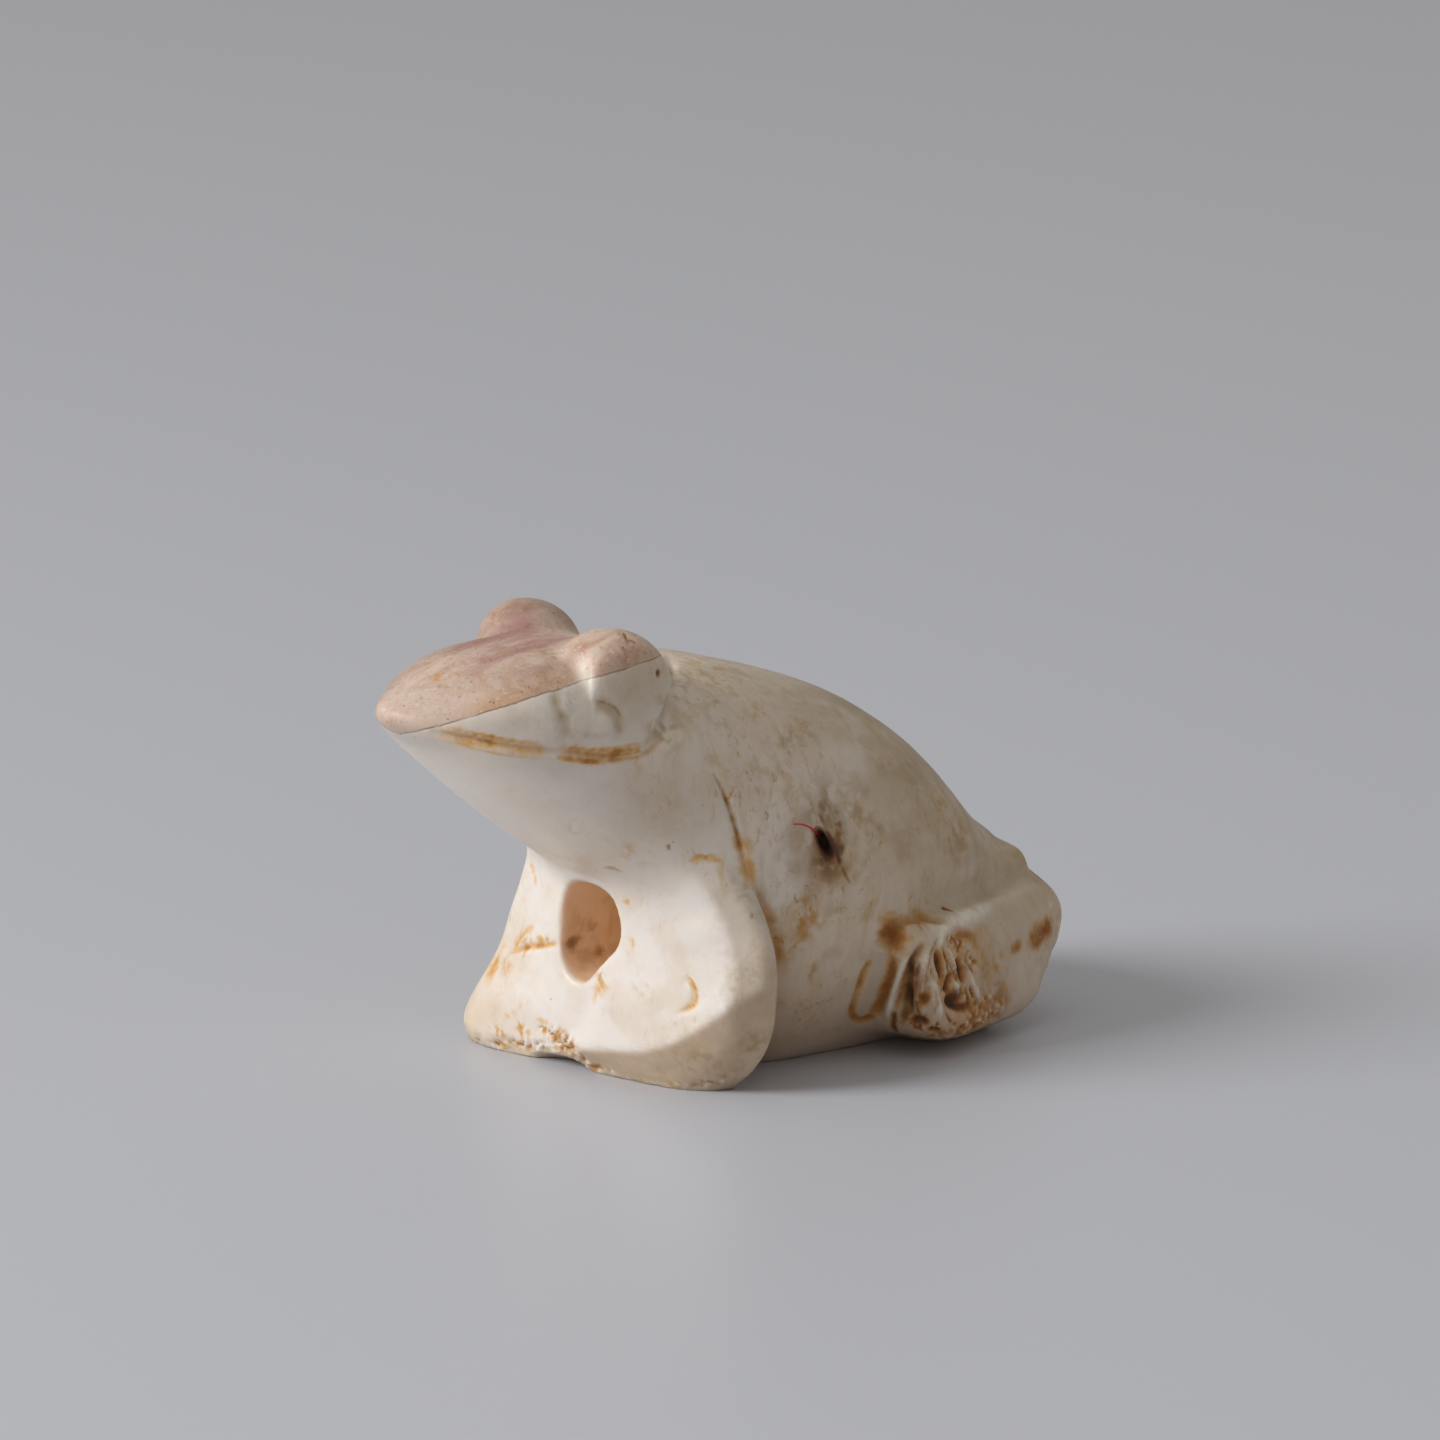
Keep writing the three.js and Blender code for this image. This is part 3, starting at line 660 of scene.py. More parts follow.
mark([(592, 650), (592, 668), (592, 690), (593, 716)], 0.09, -0.03, ragged=0, taper=0.3)
mark([(590, 705), (599, 702), (609, 704), (617, 711), (622, 720), (622, 732)], 0.12, 0.03, layer=[("taupe", 0.5), ("ochre", 0.16)], spread=0.3, ragged=0.4, taper=0.25)
streaks([(590, 705), (599, 702), (609, 704), (617, 711), (622, 722)], 7, 3, 0.05, [("taupe", 0.8), ("ochre", 0.25)])
spot(604, 722, 0.36, 1.0, 0, depth=-0.05, ragged=0)
# painted highlight on the lit front of the near eye
spot(581, 702, 0.4, 1.5, 0, layer="wear_and_highlight", tint=0.65, edge=1.5, ragged=0.4)
mark([(556, 686), (556, 701), (561, 714), (570, 726)], layer=[("taupe", 0.85), ("umber", 0.06)], spread=0.2, ragged=0.5, taper=0.3)
mark([(570, 727), (583, 734), (596, 736), (610, 733), (620, 726)], layer=[("taupe", 0.42)], spread=0.1, ragged=0.5, taper=0.3)
mark([(594, 706), (605, 708), (613, 715), (617, 725), (617, 734)], layer=[("taupe", 1.0), ("ochre", 0.2)], spread=0.26, ragged=0.4, taper=0.15)
mark([(595, 701), (606, 703), (616, 709), (623, 719)], layer=[("umber", 0.3), ("taupe", 0.9)], spread=0.055, ragged=0.4, taper=0.2)
mark([(586, 706), (577, 709), (571, 717), (570, 729), (576, 738)], 0.12, 0.02, layer=[("taupe", 0.2), ("ochre", 0.08)], spread=0.24, ragged=0.8)
spot(603, 724, 0.42, 1.0, 0, layer="wear_and_highlight", tint=0.6, edge=1.4, ragged=0.3)
# painted shade: the side facet of the eye, turned away from the key light, darkened with taupe
spot(636, 690, 1.1, 1.0, 0, layer="taupe", tint=0.46, edge=1.4, both=True, ragged=0.4)
spot(628, 645, 1.0, 0.5, 0, layer="taupe", tint=0.3, edge=1.5, ragged=0.5)
mark([(623, 633), (626, 639), (628, 645)], layer="umber", tint=0.7, spread=0.05, ragged=0.2, taper=0.2)
mark([(627, 641), (632, 641), (635, 644)], layer="umber", tint=0.6, spread=0.04, ragged=0.2, taper=0.2)
spot(658, 673, 0.07, 1.8, 0, depth=0.05, layer="umber", tint=0.8, ragged=0.1)
mark([(540, 655), (552, 653), (566, 651)], 0.05, 0.04, layer="umber", tint=0.4, spread=0.05)
mottles(553, 652, 0.5, 0.6, 0, layer=[("umber", 0.3), ("taupe", 0.5)], size=0.2, cover=0.0)
mottles(480, 668, 1.1, 0.6, 10, layer=[("ochre", 0.22)], size=0.3, cover=0.08)
spot(437, 676, 0.16, 1.2, 30, layer="ochre", tint=0.42, ragged=0.8)
# flank: groove that parts the foreleg from the trunk
mark([(713, 773), (721, 787), (728, 803), (735, 824), (741, 850), (748, 876)], 0.1, 0.12, layer=[("ochre", 0.36), ("taupe", 0.85), ("umber", 0.2)], spread=0.08, both=True, ragged=0.3)
mark([(727, 803), (735, 786)], 0.06, 0.04, layer="ochre", tint=0.4, spread=0.06)
mark([(735, 835), (744, 858), (754, 885)], layer=[("ochre", 0.55), ("taupe", 0.4)], spread=0.25, ragged=0.9, both=True)
mark([(744, 842), (757, 868), (769, 895), (779, 925)], 0.3, -0.14, ragged=0.1, both=True)
# dark warm line along the crease behind the foreleg: reddish-brown stain, and painted shade of the crease
mark([(752, 885), (766, 912), (777, 945), (781, 975)], layer=[("ochre", 0.5), ("umber", 0.2)], spread=0.25, ragged=0.6, both=True)
# pit in the left flank
mark([(821, 800), (822, 814), (826, 832)], 0.14, 0.07, layer=[("umber", 0.42), ("taupe", 0.9)], spread=0.13, ragged=0.6, taper=0.5)
mark([(826, 831), (834, 847), (841, 864)], 0.1, 0.02, layer=[("umber", 1.0)], spread=0.1, ragged=0.15, taper=0.1)
spot(829, 849, 0.36, 2.0, -27, layer=[("umber", 0.88), ("ochre", 0.5)], edge=1.0, ragged=0.6)
spot(821, 850, 0.45, 1.7, -20, layer=[("umber", 0.42), ("ochre", 0.25), ("taupe", 1.0)], edge=1.6, ragged=1.0)
mottles(824, 852, 0.55, 1.8, -20, layer=[("umber", 0.8), ("ochre", 0.4)], size=0.16, cover=-0.1)
spot(823, 838, 0.9, 1.6, -12, layer=[("taupe", 0.95), ("ochre", 0.22)], edge=1.6, ragged=1.1)
mottles(828, 869, 0.6, 1.0, 0, layer=[("taupe", 1.0), ("umber", 0.42), ("ochre", 0.3)], size=0.25, cover=-0.3)
mottles(823, 818, 0.8, 1.7, 0, layer=[("taupe", 1.0), ("umber", 0.3), ("ochre", 0.12)], size=0.25, cover=-0.22)
mottles(836, 835, 0.9, 1.3, 0, layer=[("taupe", 0.9), ("ochre", 0.12)], size=0.3, cover=-0.12)
mark([(840, 860), (845, 873), (851, 884)], 0.05, 0.04, layer=[("umber", 0.42), ("taupe", 0.8)], spread=0.08, ragged=0.6, taper=0.4)
spot(834, 872, 0.5, 1.1, -10, layer=[("taupe", 0.95), ("ochre", 0.34)], edge=1.6, ragged=1.0)
mottles(832, 880, 0.75, 0.9, -30, layer=[("taupe", 0.75), ("ochre", 0.3)], size=0.3, cover=-0.08)
mottles(808, 918, 0.62, 1.7, 0, layer=[("ochre", 0.62), ("taupe", 0.5), ("umber", 0.12)], size=0.25, cover=-0.02)
mottles(804, 935, 0.45, 1.2, 0, layer=[("ochre", 0.5), ("taupe", 0.4)], size=0.22, cover=0.0)
mottles(812, 908, 0.12, 1.2, 0, layer=[("ochre", 0.6), ("umber", 0.3)], size=0.2, cover=-0.4)
mottles(812, 970, 0.5, 2.0, 5, layer=[("ochre", 0.35), ("taupe", 0.5)], size=0.25, cover=0.03)
mottles(787, 850, 0.5, 1.2, 0, layer=[("taupe", 0.7), ("ochre", 0.25)], size=0.22, cover=0.05)
mottles(862, 815, 1.1, 1.5, 25, layer=[("taupe", 0.85), ("ochre", 0.22)], size=0.3, cover=-0.02, both=True)
mottles(840, 808, 0.9, 1.0, 0, layer=[("taupe", 0.8), ("ochre", 0.2)], size=0.28, cover=-0.02)
mottles(905, 845, 1.3, 1.3, 25, layer=[("taupe", 0.7), ("ochre", 0.12)], size=0.4, cover=0.0, both=True)
mottles(957, 838, 1.4, 1.6, 30, layer=[("taupe", 0.9), ("ochre", 0.25)], size=0.35, cover=-0.05, both=True)
mottles(975, 865, 0.9, 1.0, 0, layer=[("taupe", 0.8), ("ochre", 0.25)], size=0.35, cover=-0.03)
mottles(797, 732, 1.2, 0.7, 0, layer=[("taupe", 0.8), ("ochre", 0.12)], size=0.35, cover=0.0, both=True)
mottles(710, 668, 1.4, 0.5, -8, layer=[("taupe", 0.85), ("ochre", 0.2)], size=0.4, cover=0.02, both=True)
mottles(860, 720, 1.6, 0.6, -35, layer=[("taupe", 0.9), ("ochre", 0.22)], size=0.45, cover=0.0, both=True)
mottles(918, 770, 1.5, 0.6, -45, layer=[("taupe", 0.9), ("ochre", 0.22)], size=0.4, cover=0.0, both=True)
mottles(915, 900, 0.9, 0.9, 20, layer=[("taupe", 0.6), ("ochre", 0.3)], size=0.3, cover=0.05)
mottles(700, 720, 1.2, 1.2, 0, layer=[("taupe", 0.5)], size=0.4, cover=0.08, both=True)
mottles(760, 780, 1.2, 1.2, 0, layer=[("taupe", 0.5)], size=0.4, cover=0.08, both=True)
mottles(660, 800, 1.5, 0.8, 0, layer=[("taupe", 0.4), ("ochre", 0.1)], size=0.3, cover=0.12, both=True)
mottles(650, 852, 1.6, 0.35, 0, layer=[("ochre", 0.4), ("taupe", 0.3)], size=0.25, cover=0.1, both=True)
mottles(850, 975, 1.0, 1.2, 0, layer=[("taupe", 0.5), ("ochre", 0.15)], size=0.3, cover=0.08)
mark([(795, 1008), (797, 1013)], 0.03, 0.02, layer="umber", tint=0.5, spread=0.04, taper=0)
# throat and chest
mark([(570, 827), (573, 821), (580, 819), (585, 826), (581, 833), (573, 833), (570, 827)], 0.05, 0.035, layer="ochre", tint=0.22, spread=0.06, taper=0)
spot(668, 848, 0.08, 1.3, 0, depth=0.07, layer="umber", tint=0.6, ragged=0.1)
mark([(690, 860), (703, 858), (721, 859)], 0.06, 0.05, layer="ochre", tint=0.8, spread=0.09)
mark([(606, 868), (614, 869), (622, 873)], 0.06, 0.04, layer=[("ochre", 0.4), ("taupe", 0.6)], spread=0.1, ragged=0.9)
spot(626, 903, 0.12, 1.0, 20, layer="ochre", tint=0.55, ragged=0.9)
mark([(631, 938), (632, 948), (627, 955)], layer="ochre", tint=0.5, spread=0.11, ragged=0.9)
spot(572, 942, 0.18, 1.0, 0, layer=[("umber", 0.62)], edge=1.4, ragged=0.8)
mottles(576, 943, 0.45, 1.0, 0, layer=[("umber", 0.45)], size=0.2, cover=-0.05)
mottles(601, 951, 0.4, 0.8, -10, layer=[("umber", 0.5)], size=0.2, cover=-0.1)
mottles(592, 930, 1.3, 1.3, 0, layer=[("umber", 0.3)], size=0.4, cover=-0.1)
mark([(599, 974), (594, 978)], 0.07, 0.06, layer="umber", tint=0.5, spread=0.07, taper=0)
# left foreleg
mark([(683, 978), (692, 985), (695, 997), (689, 1008), (677, 1013)], 0.11, 0.06, layer="ochre", tint=0.42, spread=0.15, ragged=1.0)
streaks([(684, 977), (692, 984), (696, 996), (691, 1007), (678, 1013)], 11, 4, 0.055, "ochre", 0.85)
mark([(599, 979), (597, 990), (592, 1004)], 0.06, 0.03, layer="ochre", tint=0.32, spread=0.13, ragged=0.9)
mottles(600, 983, 0.34, 1.2, 0, layer=[("ochre", 0.75), ("taupe", 0.2)], size=0.15, cover=-0.12)
mottles(640, 985, 0.42, 1.0, 0, layer=[("ochre", 0.32), ("taupe", 0.25)], size=0.14, cover=0.0)
# olive-brown speckle along the bevel and lower edge of the near foreleg, which also darkens these faces turned from the
# light as painted shade
mottles(752, 985, 1.0, 1.9, -5, layer=[("taupe", 0.75), ("ochre", 0.16)], size=0.2, cover=0.0)
mottles(742, 895, 0.8, 1.6, -20, layer=[("taupe", 0.75), ("ochre", 0.12)], size=0.2, cover=0.02)
mottles(700, 1062, 1.4, 0.6, 12, layer=[("taupe", 0.95), ("umber", 0.16)], size=0.25, cover=-0.06)
mottles(752, 1046, 0.7, 1.6, -20, layer=[("taupe", 1.0), ("umber", 0.22)], size=0.22, cover=-0.1)
mottles(715, 1082, 0.9, 0.35, 12, layer=[("umber", 0.4), ("ochre", 0.3)], size=0.16, cover=-0.05)
spot(752, 916, 0.05, 1.2, 0, layer="umber", tint=0.5, ragged=0.1)
mark([(655, 938), (690, 936), (729, 933)], 0.5, -0.06, ragged=0, taper=0.3)
mark([(585, 1010), (620, 1006), (660, 1003)], 0.8, -0.06, ragged=0, taper=0.3)
# the two hands, and the hollow between them
mark([(590, 986), (585, 1010), (578, 1040)], 0.5, 0.1, ragged=0.1, taper=0.3)
spot(520, 1000, 1.3, 0.9, 0, depth=-0.2, ragged=0)
# right foreleg
mark([(512, 953), (524, 948), (536, 946), (549, 945), (562, 943)], 0.12, 0.1, layer="ochre", tint=0.7, spread=0.11, ragged=0.4)
mark([(514, 954), (517, 944), (524, 933), (533, 927)], 0.08, 0.05, layer="ochre", tint=0.65, spread=0.13, ragged=0.5)
spot(540, 940, 0.14, 1, 0, layer="ochre", tint=0.6, ragged=0.8)
mark([(530, 862), (534, 872), (536, 884)], layer="ochre", tint=0.5, spread=0.12, ragged=0.9)
mark([(501, 952), (495, 966), (487, 980)], layer="ochre", tint=0.6, spread=0.15, ragged=0.7)
mottles(530, 1018, 0.75, 0.7, 8, layer=[("ochre", 0.75), ("umber", 0.1)], size=0.17, cover=0.02)
mottles(509, 1010, 0.45, 0.6, 0, layer=[("ochre", 0.6)], size=0.17, cover=-0.02)
mottles(497, 1033, 0.4, 0.7, 0, layer=[("ochre", 0.6), ("taupe", 0.3)], size=0.18, cover=-0.05)
mottles(524, 1030, 0.3, 1.1, 0, layer=[("ochre", 0.75), ("umber", 0.15)], size=0.16, cover=-0.1)
mottles(524, 945, 0.5, 0.8, 20, layer=[("ochre", 0.7), ("umber", 0.15)], size=0.18, cover=-0.1)
mottles(500, 965, 0.6, 1.5, -30, layer=[("ochre", 0.6)], size=0.22, cover=-0.03)
mottles(520, 890, 0.5, 1.2, 0, layer=[("ochre", 0.4)], size=0.2, cover=0.0)
mark([(545, 938), (548, 942)], 0.05, 0.04, layer="ochre", tint=0.6, spread=0.12, ragged=0.6)
# taupe below the rear of the head: patina, and painted shade under the head
spot(668, 810, 1.9, 0.9, 0, layer="taupe", tint=0.32, edge=1.7, ragged=0.7)
spot(505, 716, 1.3, 0.55, 10, layer="taupe", tint=0.15, edge=1.6, ragged=0.5)
# painted highlight on the lit upper face of the near foreleg
spot(704, 921, 0.55, 0.6, 0, layer="wear_and_highlight", tint=0.6, edge=1.2, ragged=0.4)
# broken edge where the hands meet
crumble([(478, 1040), (505, 1046), (530, 1046), (552, 1047), (572, 1053), (598, 1072)], 0.24, 0.15, 0.16, 0.5)
crumble([(545, 1030), (560, 1040), (574, 1048)], 0.3, 0.13, 0.13, 0.7)
mottles(562, 1042, 0.55, 0.8, -25, layer=[("ochre", 0.85), ("umber", 0.5)], size=0.15, cover=-0.02)
mottles(520, 1044, 0.8, 0.3, 0, layer=[("ochre", 0.6), ("umber", 0.2)], size=0.16, cover=0.0)
crumble([(600, 1068), (640, 1080), (680, 1086), (715, 1084), (745, 1066)], 0.14, 0.05, 0.2, 0.3)
# foot: outlined front toe, lines between the toes, pockets of dirt
mark([(870, 962), (863, 979), (857, 996), (853, 1011), (855, 1019), (863, 1021), (874, 1015)], 0.13, 0.13, layer=[("ochre", 0.95), ("umber", 0.1)], spread=0.15, both=True, taper=0.1, ragged=0.25)
mark([(892, 956), (891, 971), (886, 987), (881, 1001), (874, 1015)], 0.16, 0.14, layer=[("ochre", 1.0), ("umber", 0.2)], spread=0.18, both=True, taper=0.1, ragged=0.25)
mark([(884, 952), (886, 938), (894, 927), (906, 920), (920, 917), (935, 920), (947, 921)], 0.18, 0.15, layer=[("ochre", 0.55), ("taupe", 0.6), ("umber", 0.06)], spread=0.26, both=True, taper=0.1, ragged=0.6)
spot(893, 935, 0.4, 1.35, 20, depth=0.08, layer=[("ochre", 0.95), ("umber", 0.42)], edge=1.5, ragged=0.5)
mottles(915, 921, 0.7, 0.5, 5, layer=[("ochre", 0.7), ("umber", 0.15)], size=0.2, cover=-0.1)
mark([(922, 946), (915, 962), (910, 979), (906, 995), (904, 1008), (903, 1022)], 0.24, 0.42, layer=[("umber", 0.72), ("ochre", 0.6)], spread=0.2, both=True, taper=0.3, ragged=0.2)
mark([(908, 990), (908, 1004), (909, 1018)], 0.22, 0.1, layer=[("umber", 0.72), ("taupe", 1.0)], spread=0.2, ragged=0.4, both=True)
mark([(894, 1012), (893, 1024), (897, 1033)], 0.1, 0.08, layer=[("umber", 0.62), ("ochre", 0.6)], spread=0.12, ragged=0.4)
mark([(912, 957), (901, 985), (895, 1010)], 0.06, 0.04, layer=[("ochre", 0.9), ("umber", 0.3)], spread=0.08, ragged=0.4)
mottles(924, 975, 0.5, 2.0, -5, layer=[("ochre", 0.5), ("taupe", 0.6)], size=0.25, cover=-0.15)
spot(925, 999, 0.22, 1.4, -15, depth=0.05, layer=[("ochre", 0.9), ("umber", 0.4)], edge=1.1, ragged=0.5)
# whitish tops of the toe ridges: lighter shell where worn, and painted highlight where they catch the light
mark([(909, 952), (900, 974), (892, 998), (886, 1018)], 0.12, -0.15, layer="wear_and_highlight", tint=1.0, spread=0.12, ragged=0, both=True)
mark([(928, 950), (926, 968), (921, 986)], 0.12, -0.12, layer="wear_and_highlight", tint=0.8, spread=0.13, ragged=0, both=True)
mark([(937, 950), (940, 963), (942, 974), (940, 979)], 0.16, 0.3, layer=[("umber", 0.6), ("ochre", 1.0)], spread=0.15, both=True, ragged=0.2)
mark([(936, 951), (938, 966)], layer="umber", tint=0.85, spread=0.09, ragged=0.3)
mark([(931, 968), (934, 982)], 0.05, 0.08, layer=[("umber", 0.4), ("ochre", 0.5)], spread=0.05, ragged=0.3)
mark([(931, 976), (936, 996), (941, 1018)], 0.11, -0.17, layer="wear_and_highlight", tint=1.0, spread=0.12, ragged=0, both=True)
mark([(941, 930), (939, 945)], 0.12, -0.1, layer="wear_and_highlight", tint=1.0, spread=0.14, ragged=0, both=True)
mark([(926, 996), (921, 1003), (918, 1009)], 0.15, 0.18, layer=[("umber", 0.3), ("ochre", 1.0)], spread=0.14, ragged=0.3)
mark([(947, 948), (951, 960), (955, 972)], 0.09, -0.13, layer="wear_and_highlight", tint=1.0, spread=0.1, ragged=0, both=True)
mark([(951, 974), (948, 984), (946, 993)], 0.14, 0.26, layer=[("umber", 0.66), ("ochre", 1.0)], spread=0.15, both=True, ragged=0.2)
mark([(956, 959), (961, 970), (964, 982)], 0.14, 0.26, layer=[("umber", 0.6), ("ochre", 1.0)], spread=0.14, both=True, ragged=0.2)
mark([(964, 960), (970, 966), (974, 974)], 0.05, 0.08, layer=[("umber", 0.5), ("ochre", 0.5)], spread=0.05, ragged=0.4)
mark([(955, 981), (959, 995)], 0.09, -0.13, layer="wear_and_highlight", tint=1.0, spread=0.1, ragged=0)
mark([(968, 972), (973, 985), (979, 998)], 0.09, -0.1, layer="wear_and_highlight", tint=0.9, spread=0.1, ragged=0)
mark([(970, 986), (975, 998)], 0.07, 0.16, layer=[("umber", 0.4), ("ochre", 0.8)], spread=0.07, ragged=0.3)
mark([(946, 996), (953, 1003), (960, 1007), (971, 1007)], 0.15, 0.24, layer=[("umber", 0.8), ("ochre", 0.9)], spread=0.15, ragged=0.35)
spot(954, 999, 0.3, 1.0, 0, depth=0.12, layer=[("umber", 0.75), ("ochre", 1.0)], edge=1.2, ragged=0.6)
mark([(910, 1024), (918, 1021), (929, 1023)], 0.17, 0.2, layer=[("umber", 0.7), ("ochre", 0.9)], spread=0.17, ragged=0.4)
mark([(928, 1029), (941, 1031)], 0.12, 0.15, layer=[("umber", 0.8), ("ochre", 0.8)], spread=0.13, ragged=0.4)
for i in range(11):
    x0, y0 = 949 + 2.7 * i, 934 + 2.2 * i + 4 * math.sin(2.1 * i)
    mark([(x0, y0), (x0 - 2.5, y0 + 6)], 0.05, 0.06, layer=[("umber", 0.35), ("ochre", 0.4)], spread=0.05, ragged=0.5)
spot(914, 997, 0.6, 2.0, 15, layer=[("umber", 0.12), ("taupe", 0.7)], edge=1.4, ragged=0.8)
for cut in ([(938, 938), (931, 955), (927, 974), (925, 992)], [(942, 946), (947, 962), (949, 976)], [(933, 986), (936, 1000), (935, 1013)], [(914, 1001), (917, 1011), (921, 1018)],
            [(957, 987), (961, 996), (960, 1003)], [(922, 962), (918, 980), (915, 996)], [(965, 987), (969, 999), (972, 1008)], [(946, 1012), (950, 1020), (957, 1025)]):
    mark(cut, 0.055, 0.1, layer=[("umber", 0.5), ("ochre", 0.6)], spread=0.06, ragged=0.6, taper=0.3, both=True)
streaks([(936, 940), (926, 965), (919, 995), (917, 1015)], 8, 7, 0.04, [("umber", 0.45), ("ochre", 0.6)])
streaks([(945, 945), (955, 972), (965, 1000)], 10, 10, 0.04, [("umber", 0.45), ("ochre", 0.6)])
crumble([(940, 1036), (965, 1031), (985, 1019), (1003, 1008)], 0.34, 0.2, 0.15, 0.6, both=True)
crumble([(972, 1010), (985, 1004), (998, 996)], 0.3, 0.12, 0.2, 0.5)
crumble([(897, 1036), (925, 1037), (950, 1038)], 0.2, 0.12, 0.2, 0.45, both=True)
crumble([(952, 940), (962, 948), (971, 962)], 0.3, 0.07, 0.13, 0.5)
crumble([(1050, 905), (1058, 925), (1055, 955), (1040, 982)], 0.16, 0.06, 0.3, 0.2)
mark([(942, 908), (951, 911)], 0.06, 0.05, layer=[("umber", 0.5), ("ochre", 0.7)], spread=0.07, taper=0)
mark([(948, 936), (962, 933), (974, 940), (978, 955)], 0.16, 0.08, layer=[("ochre", 0.6), ("umber", 0.18)], spread=0.22, ragged=0.9)
mark([(1030, 943), (1039, 935), (1051, 923)], layer=[("ochre", 0.9), ("umber", 0.26)], spread=0.38, ragged=0.2, taper=0.12)
mark([(1037, 935), (1046, 927)], layer=[("ochre", 0.95), ("umber", 0.28)], spread=0.28, ragged=0.2, taper=0.1)
spot(1041, 934, 0.56, 0.55, 42, layer=[("ochre", 1.0), ("umber", 0.24)], edge=1.1, ragged=0.3)
spot(1016, 948, 0.22, 0.9, 20, layer=[("ochre", 0.75), ("umber", 0.22)], edge=1.4, ragged=0.5)
mottles(999, 961, 0.42, 1.2, 20, layer=[("ochre", 0.6), ("umber", 0.12)], size=0.3, cover=-0.2)
spot(1036, 975, 1.0, 1.2, 0, layer="wear_and_highlight", tint=0.42, edge=1.6, ragged=0.5)
spot(1003, 999, 0.42, 1.3, 0, layer=[("ochre", 0.5), ("umber", 0.2)], edge=1.6, ragged=0.8)
mottles(985, 935, 1.0, 0.8, 30, layer=[("taupe", 0.6), ("ochre", 0.2)], size=0.3, cover=0.0)
mottles(915, 985, 0.9, 1.6, 10, layer=[("ochre", 0.5), ("umber", 0.3), ("taupe", 0.6)], size=0.16, cover=-0.02, both=True)
mottles(953, 980, 0.8, 1.4, -10, layer=[("ochre", 0.75), ("umber", 0.4)], size=0.15, cover=0.0, both=True)
mottles(925, 1025, 0.9, 0.45, 0, layer=[("ochre", 0.8), ("umber", 0.6)], size=0.16, cover=-0.02, both=True)
mottles(957, 938, 0.55, 0.6, -20, layer=[("umber", 0.55), ("ochre", 0.4)], size=0.14, cover=0.0)
# ridge of the hind leg catches the light, with a painted highlight along it; above it a hollow darkened with painted
# shade, and a second fold
mark([(938, 930), (955, 922), (975, 912), (1000, 899), (1036, 884)], 0.34, -0.08, ragged=0.1, both=True, taper=0.15)
mark([(930, 932), (950, 925), (970, 914), (990, 904)], layer="wear_and_highlight", tint=1.0, spread=0.36, ragged=0.3, both=True, taper=0.3)
mark([(990, 904), (1010, 895), (1036, 883)], layer="wear_and_highlight", tint=0.36, spread=0.28, ragged=0.3, both=True, taper=0.3)
mark([(950, 908), (984, 893), (1008, 880), (1026, 868)], 0.3, 0.11, layer="taupe", tint=0.45, spread=0.35, ragged=0.2, both=True, taper=0.2)
# ---------------------------------------------------------------- broad hand-cut unevenness and worn, crumbly edges
move += 0.045 * fbm(V, 2.6, 2) + 0.012 * fbm(V, 0.8, 2, 2.0)
edge = bell(Z - 0.35, 0.45) * step(0.03, 0.2, Z)
hands = edge * step(-2.0, -2.6, Y)
move += hands * (0.07 * np.abs(fbm(V, 0.5, 3, 4.0))) + edge * step(5.0, 6.5, Y) * 0.12 * np.abs(fbm(V, 0.45, 3, 6.0))
inner = 1 - step(-0.05, 0.12, np.maximum(opening(X, Y, Z), -1))
move += inner * 0.05 * fbm(V, 0.7, 2, 8.0)
rim = bell(opening(X, Y, Z), 0.2) * (1 - inner) * step(-2.2, -2.8, Y)
move += rim * 0.06 * np.clip(fbm(V, 0.4, 2, 1.0), 0, 1)
move *= step(0.0, 0.12, Z)  # the flat underside stays flat
move = np.clip(move, -0.24, 0.5)

# ---------------------------------------------------------------- soft colour layers
up = N[:, 2]
streak = fbm(V * np.array([1.0, 0.35, 1.0]), 1.2, 3, 11.0)
back = step(1.0, 10.5, Y + 0.8 * up + 1.2 * fbm(V, 3.0, 2, 2.2)) * step(2.0, 6.0, Z)
LAYERS["taupe"] = np.maximum(LAYERS["taupe"], np.clip(0.85 * back * (0.75 + 0.35 * streak) + (0.34 + 0.3 * streak) * step(0.3, 0.95, up) * step(-2.5, 2.0, Y), 0, 1))
# the low sides of the body near the floor: the belly's pinkish tone, darkened there as painted shade
low_side = step(6.5, 1.0, Z) * step(-1.0, 1.5, Y) * (np.abs(X) > 1)
LAYERS["blush"] = np.clip(1.1 * low_side * step(4.5, 0.3, Z) * (0.8 + 0.4 * fbm(V, 1.5, 2, 6.6)), 0, 1)
LAYERS["taupe"] = np.maximum(LAYERS["taupe"], 0.46 * low_side * (0.8 + 0.4 * streak))
# painted shade: the hands' lower facet, which faces down and away from the light, darkened with blush and taupe
low_front = step(0.05, -0.25, Z - (0.8 + 0.14 * np.clip(X + 0.8, -1.5, 9) + 0.1 * np.maximum(X - 2.5, 0) ** 2)) * step(-0.6, -1.2, Y)
LAYERS["blush"] = np.maximum(LAYERS["blush"], 0.75 * low_front * step(-2.5, 0.5, X))
# painted light: the front faces of the forelegs that turn toward the key light, kept lighter, cooler and less blotched
# in the base colour
front_face = step(0.45, 0.8, -N[:, 1]) * step(0.7, 0.3, Y - hand_front(X, Z))
LAYERS["painted_front_light"] = front_face * (1 - low_front) * step(8.4, 6.6, Z) * step(-5.5, -2.5, X)
# painted shade: the sideways-facing band of the near foreleg, on the side away from the key light, darkened with taupe
side_band = step(-2.9, -2.0, Y) * step(0.3, -0.3, Y) * step(0.55, 0.85, np.abs(N[:, 0])) * step(8.0, 6.5, Z)
